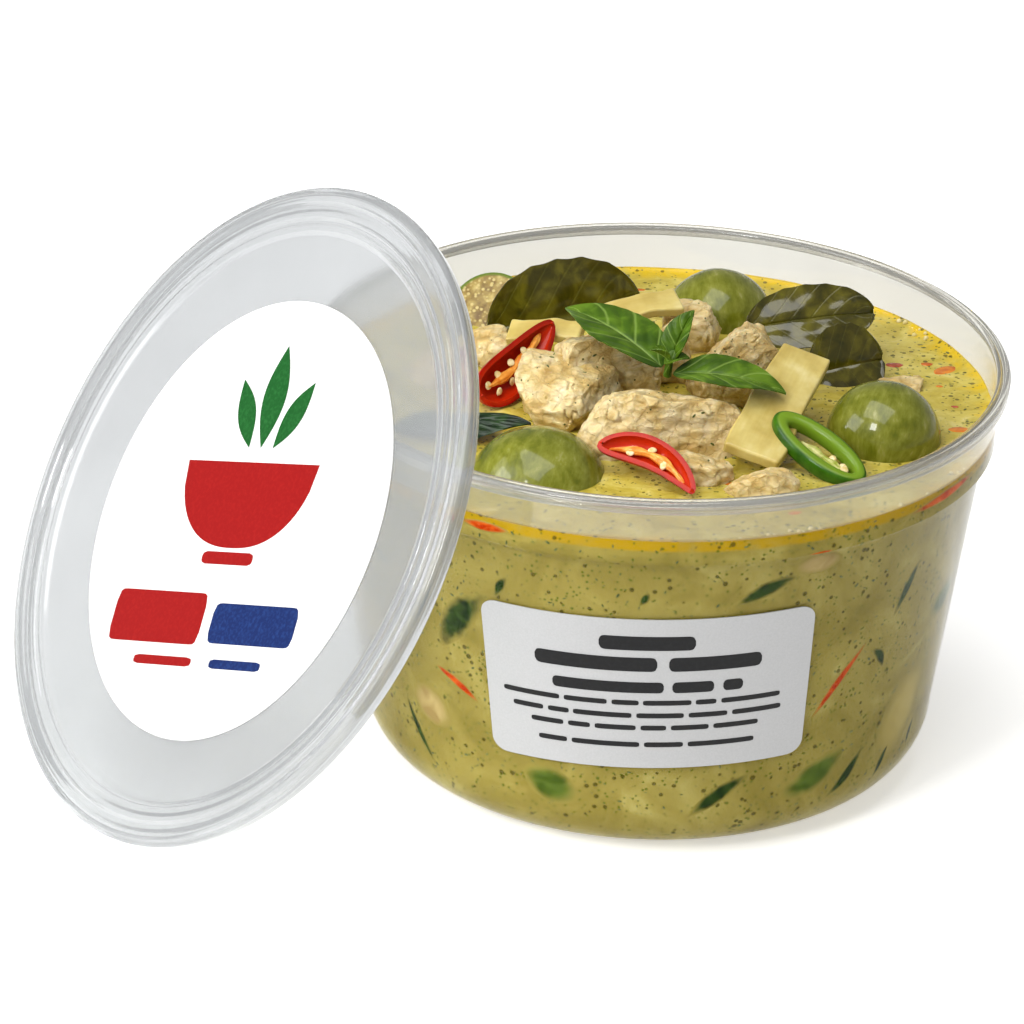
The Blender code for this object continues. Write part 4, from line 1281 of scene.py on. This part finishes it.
def bamboo_slab(node, length, width, thick, bend, centre, turn, flesh):
    """A sliced shoot: a bar with soft uneven edges, slightly bowed and tapered."""
    obj = new_from(bpy.ops.mesh.primitive_cube_add, size=1.0)
    reshape(obj, lambda co: Vector((co.x * length, co.y * width, co.z * thick)) * MM)
    finish_modifier(obj, "BEVEL", width=0.9 * MM, segments=3)
    subdivide(5)
    refine(obj, 2)

    def shape(co):
        along = 2.0 * co.x / (length * MM)
        wobble = 1.5 * noise.noise(Vector((along * 1.8, length, co.y * 70))) * MM
        bow = bend * (1.0 - along ** 2) * MM
        ripple = 0.25 * noise.noise(Vector((co.x * 90, co.y * 260, 3.0))) * MM
        return Vector((co.x, co.y * (1.0 - 0.08 * along) + wobble, co.z + bow + ripple))
    reshape(obj, shape)
    remember(obj)
    float_at(obj, centre, turn)
    dress(obj, flesh)
    keep(obj, node + "_slice", "bamboo", node)


def make_bamboo():
    flesh = bamboo_shoot()
    bamboo_slab("bamboo_front", 57.5, 18.5, 4.3, 1.0, (40, -29, 12.5), (14, -15, 72), flesh)
    bamboo_slab("bamboo_left", 26.0, 9.0, 4.0, 1.0, (-39, 25, 12.0), (20, -8, -14), flesh)
    bamboo_slab("bamboo_back", 32.0, 11.0, 4.0, 1.2, (-9, 37, 16.0), (20, -8, 22), flesh)


def chilli_shell(length, width, depth, bow, wall=1.7):
    """Half of a chilli cut lengthways, hollow: a trough with a thick wall, pointed at one end."""
    shell = plate(64, 32)

    def move(co):
        along = co.x
        taper = (1.0 - abs(along) ** 2.6) ** 0.5 * (1.0 - 0.30 * along)
        sweep = 0.5 * math.pi * co.y
        side = 0.5 * width * taper * math.sin(sweep) + bow * (1.0 - along * along)
        down = -depth * taper * math.cos(sweep)
        return Vector((along * 0.5 * length, side, down)) * MM
    reshape(shell, move)
    mark(shell, "rind", lambda co: 1.0)
    finish_modifier(shell, "SOLIDIFY", thickness=wall * MM, offset=1.0)
    weld(shell, 0.00001)
    return shell


def seed_shape():
    """A flat round seed with a dent on one side."""
    seed = new_from(bpy.ops.mesh.primitive_uv_sphere_add, segments=20, ring_count=12, radius=1.0)
    return reshape(seed, lambda co: Vector((
        co.x * 1.55 + 0.2 * co.y * co.y, co.y * 1.3,
        co.z * 0.55 * (1.0 - 0.25 * math.exp(-4 * co.xy.length_squared)),
    )) * MM)


def fill_chilli(length, bow, sites, core_size, core_tone, seed_tone, centre, turn, name, slot):
    """The pale core and loose seeds inside a cut chilli, laid in its own frame and then placed."""
    core = new_from(bpy.ops.mesh.primitive_uv_sphere_add, segments=40, ring_count=24, radius=1.0)

    def rope(co):
        along = co.x
        return Vector((
            0.5 * length * core_size[0] * along,
            core_size[1] * co.y * (1.0 + 0.3 * math.sin(9 * along)) + bow * (1.0 - along * along),
            core_size[2] * co.z - 1.6 + 0.4 * noise.noise(co * 3.0),
        )) * MM
    reshape(core, rope)
    place(core, centre, turn)
    dress(core, core_tone)
    keep(core, name + "_core", slot)
    seeds = scattered(name + "_seeds", seed_shape(), [
        Matrix.Translation(Vector((x, y + bow * (1.0 - (2 * x / length) ** 2), z)) * MM)
        @ Matrix.Rotation(math.radians(lean), 4, "X") @ Matrix.Rotation(math.radians(spin), 4, "Z")
        for x, y, z, lean, spin in sites
    ])
    place(seeds, centre, turn)
    dress(seeds, seed_tone)
    keep(seeds, name + "_seeds", slot)


def make_chillies():
    """Two red halves and the slanting green ring, each with its own core and seeds."""
    red = chilli_wall("red_chilli_wall", "#b00f05", "#b82708", "#850a03")
    core_tone = moist_tissue("chilli_core", "#d97a20", "#f0ab4a", 3.0)
    seed_tone = moist_tissue("chilli_seed", "#dcc07a", "#f1e2b4", 1.5, 0.25)
    halves = (
        ("red_chilli_back", 46.0, 15.5, 6.0, -2.0, (-48, 2, LEVEL + 12.0), (58, -16, 58), (0.72, 1.7, 1.5), (
            (-13, -2.6, -1.6, 20, 10), (-9.5, 2.2, -1.4, -20, 50), (-6, -2.8, -1.4, 30, 80),
            (-2, 2.4, -1.2, -24, 20), (2, -2.3, -1.2, 24, 100), (5.5, 2.0, -1.0, -20, 40),
            (9, -1.6, -0.8, 10, 60), (-15.5, 1.4, -1.6, 0, 20),
        )),
        ("red_chilli_front", 40.0, 11.5, 5.0, 5.5, (-3, -67, LEVEL + 5.5), (30, 10, -35), (0.8, 1.5, 1.3), (
            (-9, -1.8, -1.2, 20, 10), (-3, 1.6, -1.0, -20, 60), (4, -1.5, -0.9, 20, 100),
        )),
    )
    for node, length, width, depth, bow, centre, turn, core_size, sites in halves:
        shell = chilli_shell(length, width, depth, bow)
        rind = shell.data.attributes["rind"].data
        normals = [Vector(item.vector) for item in shell.data.vertex_normals]
        for vert, normal, value in zip(shell.data.vertices, normals, rind):
            along = 2.0 * vert.co.x / (length * MM)
            axis_y = bow * (1.0 - along * along) * MM
            outward = Vector((0.0, vert.co.y - axis_y, vert.co.z)).normalized()
            value.value = smooth_step(0.0, 0.5, normal.dot(outward))
        remember(shell)
        place(shell, centre, turn)
        dress(shell, red)
        keep(shell, node + "_wall", "red_chilli", node)
        fill_chilli(length, bow, sites, core_size, core_tone, seed_tone, centre, turn, node, "red_chilli")
    make_green_ring(seed_tone)


def make_green_ring(seed_tone):
    """A slanting slice of green chilli: dark skin, pale flesh, a web of core and seeds in one half."""
    length, width, tube = 38.0, 17.0, 2.4
    ring = new_from(
        bpy.ops.mesh.primitive_torus_add, major_segments=96, minor_segments=24,
        major_radius=1.0, minor_radius=0.2,
    )

    def stretch(co):
        radial = math.hypot(co.x, co.y)
        out = (radial - 1.0) / 0.2
        squared = math.copysign(abs(out) ** 0.7, out) * tube
        lean = 1.0 + 0.35 * (-co.x / radial > 0.3) * abs(co.x / radial)
        return Vector((
            co.x / radial * (0.5 * length - tube + squared * lean),
            co.y / radial * (0.5 * width - tube + squared),
            math.copysign(abs(co.z / 0.2) ** 0.75, co.z) * tube * 1.3,
        )) * MM
    reshape(ring, stretch)
    remember(ring)
    normals = [Vector(item.vector) for item in ring.data.vertex_normals]
    stored = ring.data.attributes.new("rind", "FLOAT", "POINT")
    for vert, normal, value in zip(ring.data.vertices, normals, stored.data):
        outward = Vector((vert.co.x / length, vert.co.y / width, 0.0)).normalized()
        value.value = smooth_step(0.15, 0.6, normal.dot(outward))
    centre, turn = (54, -50, LEVEL + 6.0), (14, 22, -34)
    place(ring, centre, turn)
    dress(ring, chilli_wall("green_chilli_wall", "#234e08", "#6c8a20", "#3c6a10"))
    keep(ring, "green_chilli_ring", "green_chilli", "green_chilli")
    web = moist_tissue("green_chilli_core", "#a9b24a", "#d9d48c", 2.5)
    fill_chilli(length, 0.0, (
        (5.0, 2.2, -1.0, 20, 10), (8.5, -1.4, -0.6, -15, 60), (2.5, -1.8, -1.2, 10, 100),
        (11.5, 1.2, -0.8, 0, 30), (0.0, 2.4, -1.6, 20, 70), (6.5, 0.2, 0.6, 0, 0),
    ), (0.62, 2.0, 1.4), web, seed_tone, (57, -52, LEVEL + 4.0), turn, "green_chilli", "green_chilli")


# ---------------------------------------------------------------- floor, light and camera

def make_floor():
    """A plain pale studio floor."""
    floor = new_from(bpy.ops.mesh.primitive_plane_add, size=24.0, location=(0, 4.0, -0.0002))
    material, tree, shader = principled("studio_floor_paint", Roughness=0.7, Emission_Strength=0.52)
    _, tone = patchy(tree, shader, 2.0, 2.0, (0.3, "#fafafa"), (0.7, "#fcfcfc"))
    tree.links.new(tone, shader.inputs["Emission Color"])
    dress(floor, material)
    floor.name = "studio_floor"


def soft_light(name, place_at, aim, size, power):
    """A softbox that the camera doesn't see."""
    lamp = bpy.data.lights.new(name, "AREA")
    lamp.shape = "RECTANGLE"
    lamp.size, lamp.size_y = size
    lamp.energy = power
    obj = bpy.data.objects.new(name, lamp)
    obj.location = place_at
    obj.rotation_mode = "QUATERNION"
    obj.rotation_quaternion = (Vector(aim) - Vector(place_at)).to_track_quat("-Z", "Y")
    obj.visible_camera = False
    bpy.context.scene.collection.objects.link(obj)
    return obj


def make_lights():
    world = bpy.data.worlds.new("studio_air")
    world.use_nodes = True
    world.node_tree.nodes["Background"].inputs["Color"].default_value = linear("#ffffff")
    world.node_tree.nodes["Background"].inputs["Strength"].default_value = 0.30
    bpy.context.scene.world = world
    soft_light("overhead_softbox", (-0.30, -0.45, 1.9), (0.0, 0.0, 0.0), (1.5, 1.5), 27.0)
    left = soft_light("left_softbox", (-1.5, -0.55, 0.9), (0.0, 0.0, 0.1), (0.8, 1.1), 13.5)
    soft_light("front_window", (-0.75, -1.3, 1.25), (0.0, 0.0, 0.12), (0.34, 0.46), 11.0)
    # The thin clear lid casts no shadow from the side light, so the tub's left wall stays bright
    shadeless = bpy.data.collections.new("lid_without_shadow")
    for obj in bpy.data.objects:
        if "lid" in obj.name and obj.type == "MESH":
            shadeless.objects.link(obj)
    for link in shadeless.collection_objects:
        link.light_linking.link_state = "EXCLUDE"
    left.light_linking.blocker_collection = shadeless
    bpy.context.scene.view_settings.view_transform = "Standard"
    bpy.context.scene.view_settings.look = "None"


def make_camera():
    """The camera at the viewing angle: far away with a long lens, turned by yaw, pitch and roll."""
    ahead = Vector((
        math.sin(CAMERA_YAW) * math.cos(CAMERA_PITCH),
        math.cos(CAMERA_YAW) * math.cos(CAMERA_PITCH),
        -math.sin(CAMERA_PITCH),
    ))
    right = ahead.cross(Vector((0, 0, 1))).normalized()
    up = right.cross(ahead)
    rolled_right = right * math.cos(CAMERA_ROLL) + up * math.sin(CAMERA_ROLL)
    rolled_up = up * math.cos(CAMERA_ROLL) - right * math.sin(CAMERA_ROLL)
    data = bpy.data.cameras.new("camera")
    data.lens = CAMERA_LENS
    data.sensor_width = SENSOR_WIDTH
    data.clip_start, data.clip_end = 0.1, 40.0
    camera = bpy.data.objects.new("camera", data)
    turn = Matrix((rolled_right, rolled_up, -ahead)).transposed().to_4x4()
    camera.matrix_world = Matrix.Translation(CAMERA_PLACE) @ turn
    bpy.context.scene.collection.objects.link(camera)
    bpy.context.scene.camera = camera


def main():
    make_camera()
    make_floor()
    make_tub()
    make_lid()
    # The tub label's paper is a much greyer copy of the sticker's white paper: the grey is painted shade
    make_tub_label(coated_label_paper("tub_label_paper", "#a5a5a5", "#acacac"),
                   printing_ink("black_ink", "#0c0c0d", "#161618"))
    make_sticker(coated_label_paper("lid_sticker_paper", "#e4e4e3", "#ebebea"), {
        "red": printing_ink("red_ink", "#900808", "#a01612"),
        "green": printing_ink("green_ink", "#12521d", "#266b2f"),
        "blue": printing_ink("blue_ink", "#0f2459", "#203c78"),
    })
    curry = make_curry()
    chickens = make_chicken()
    make_aubergines()
    make_leaves()
    make_bamboo()
    make_chillies()
    make_sunk_pieces()
    make_oil_drops(curry)
    make_bubbles()
    make_herb_flecks(curry, chickens, moist_tissue("chopped_herb", "#364216", "#6a7030", 2.0, 0.4))
    make_lights()


main()
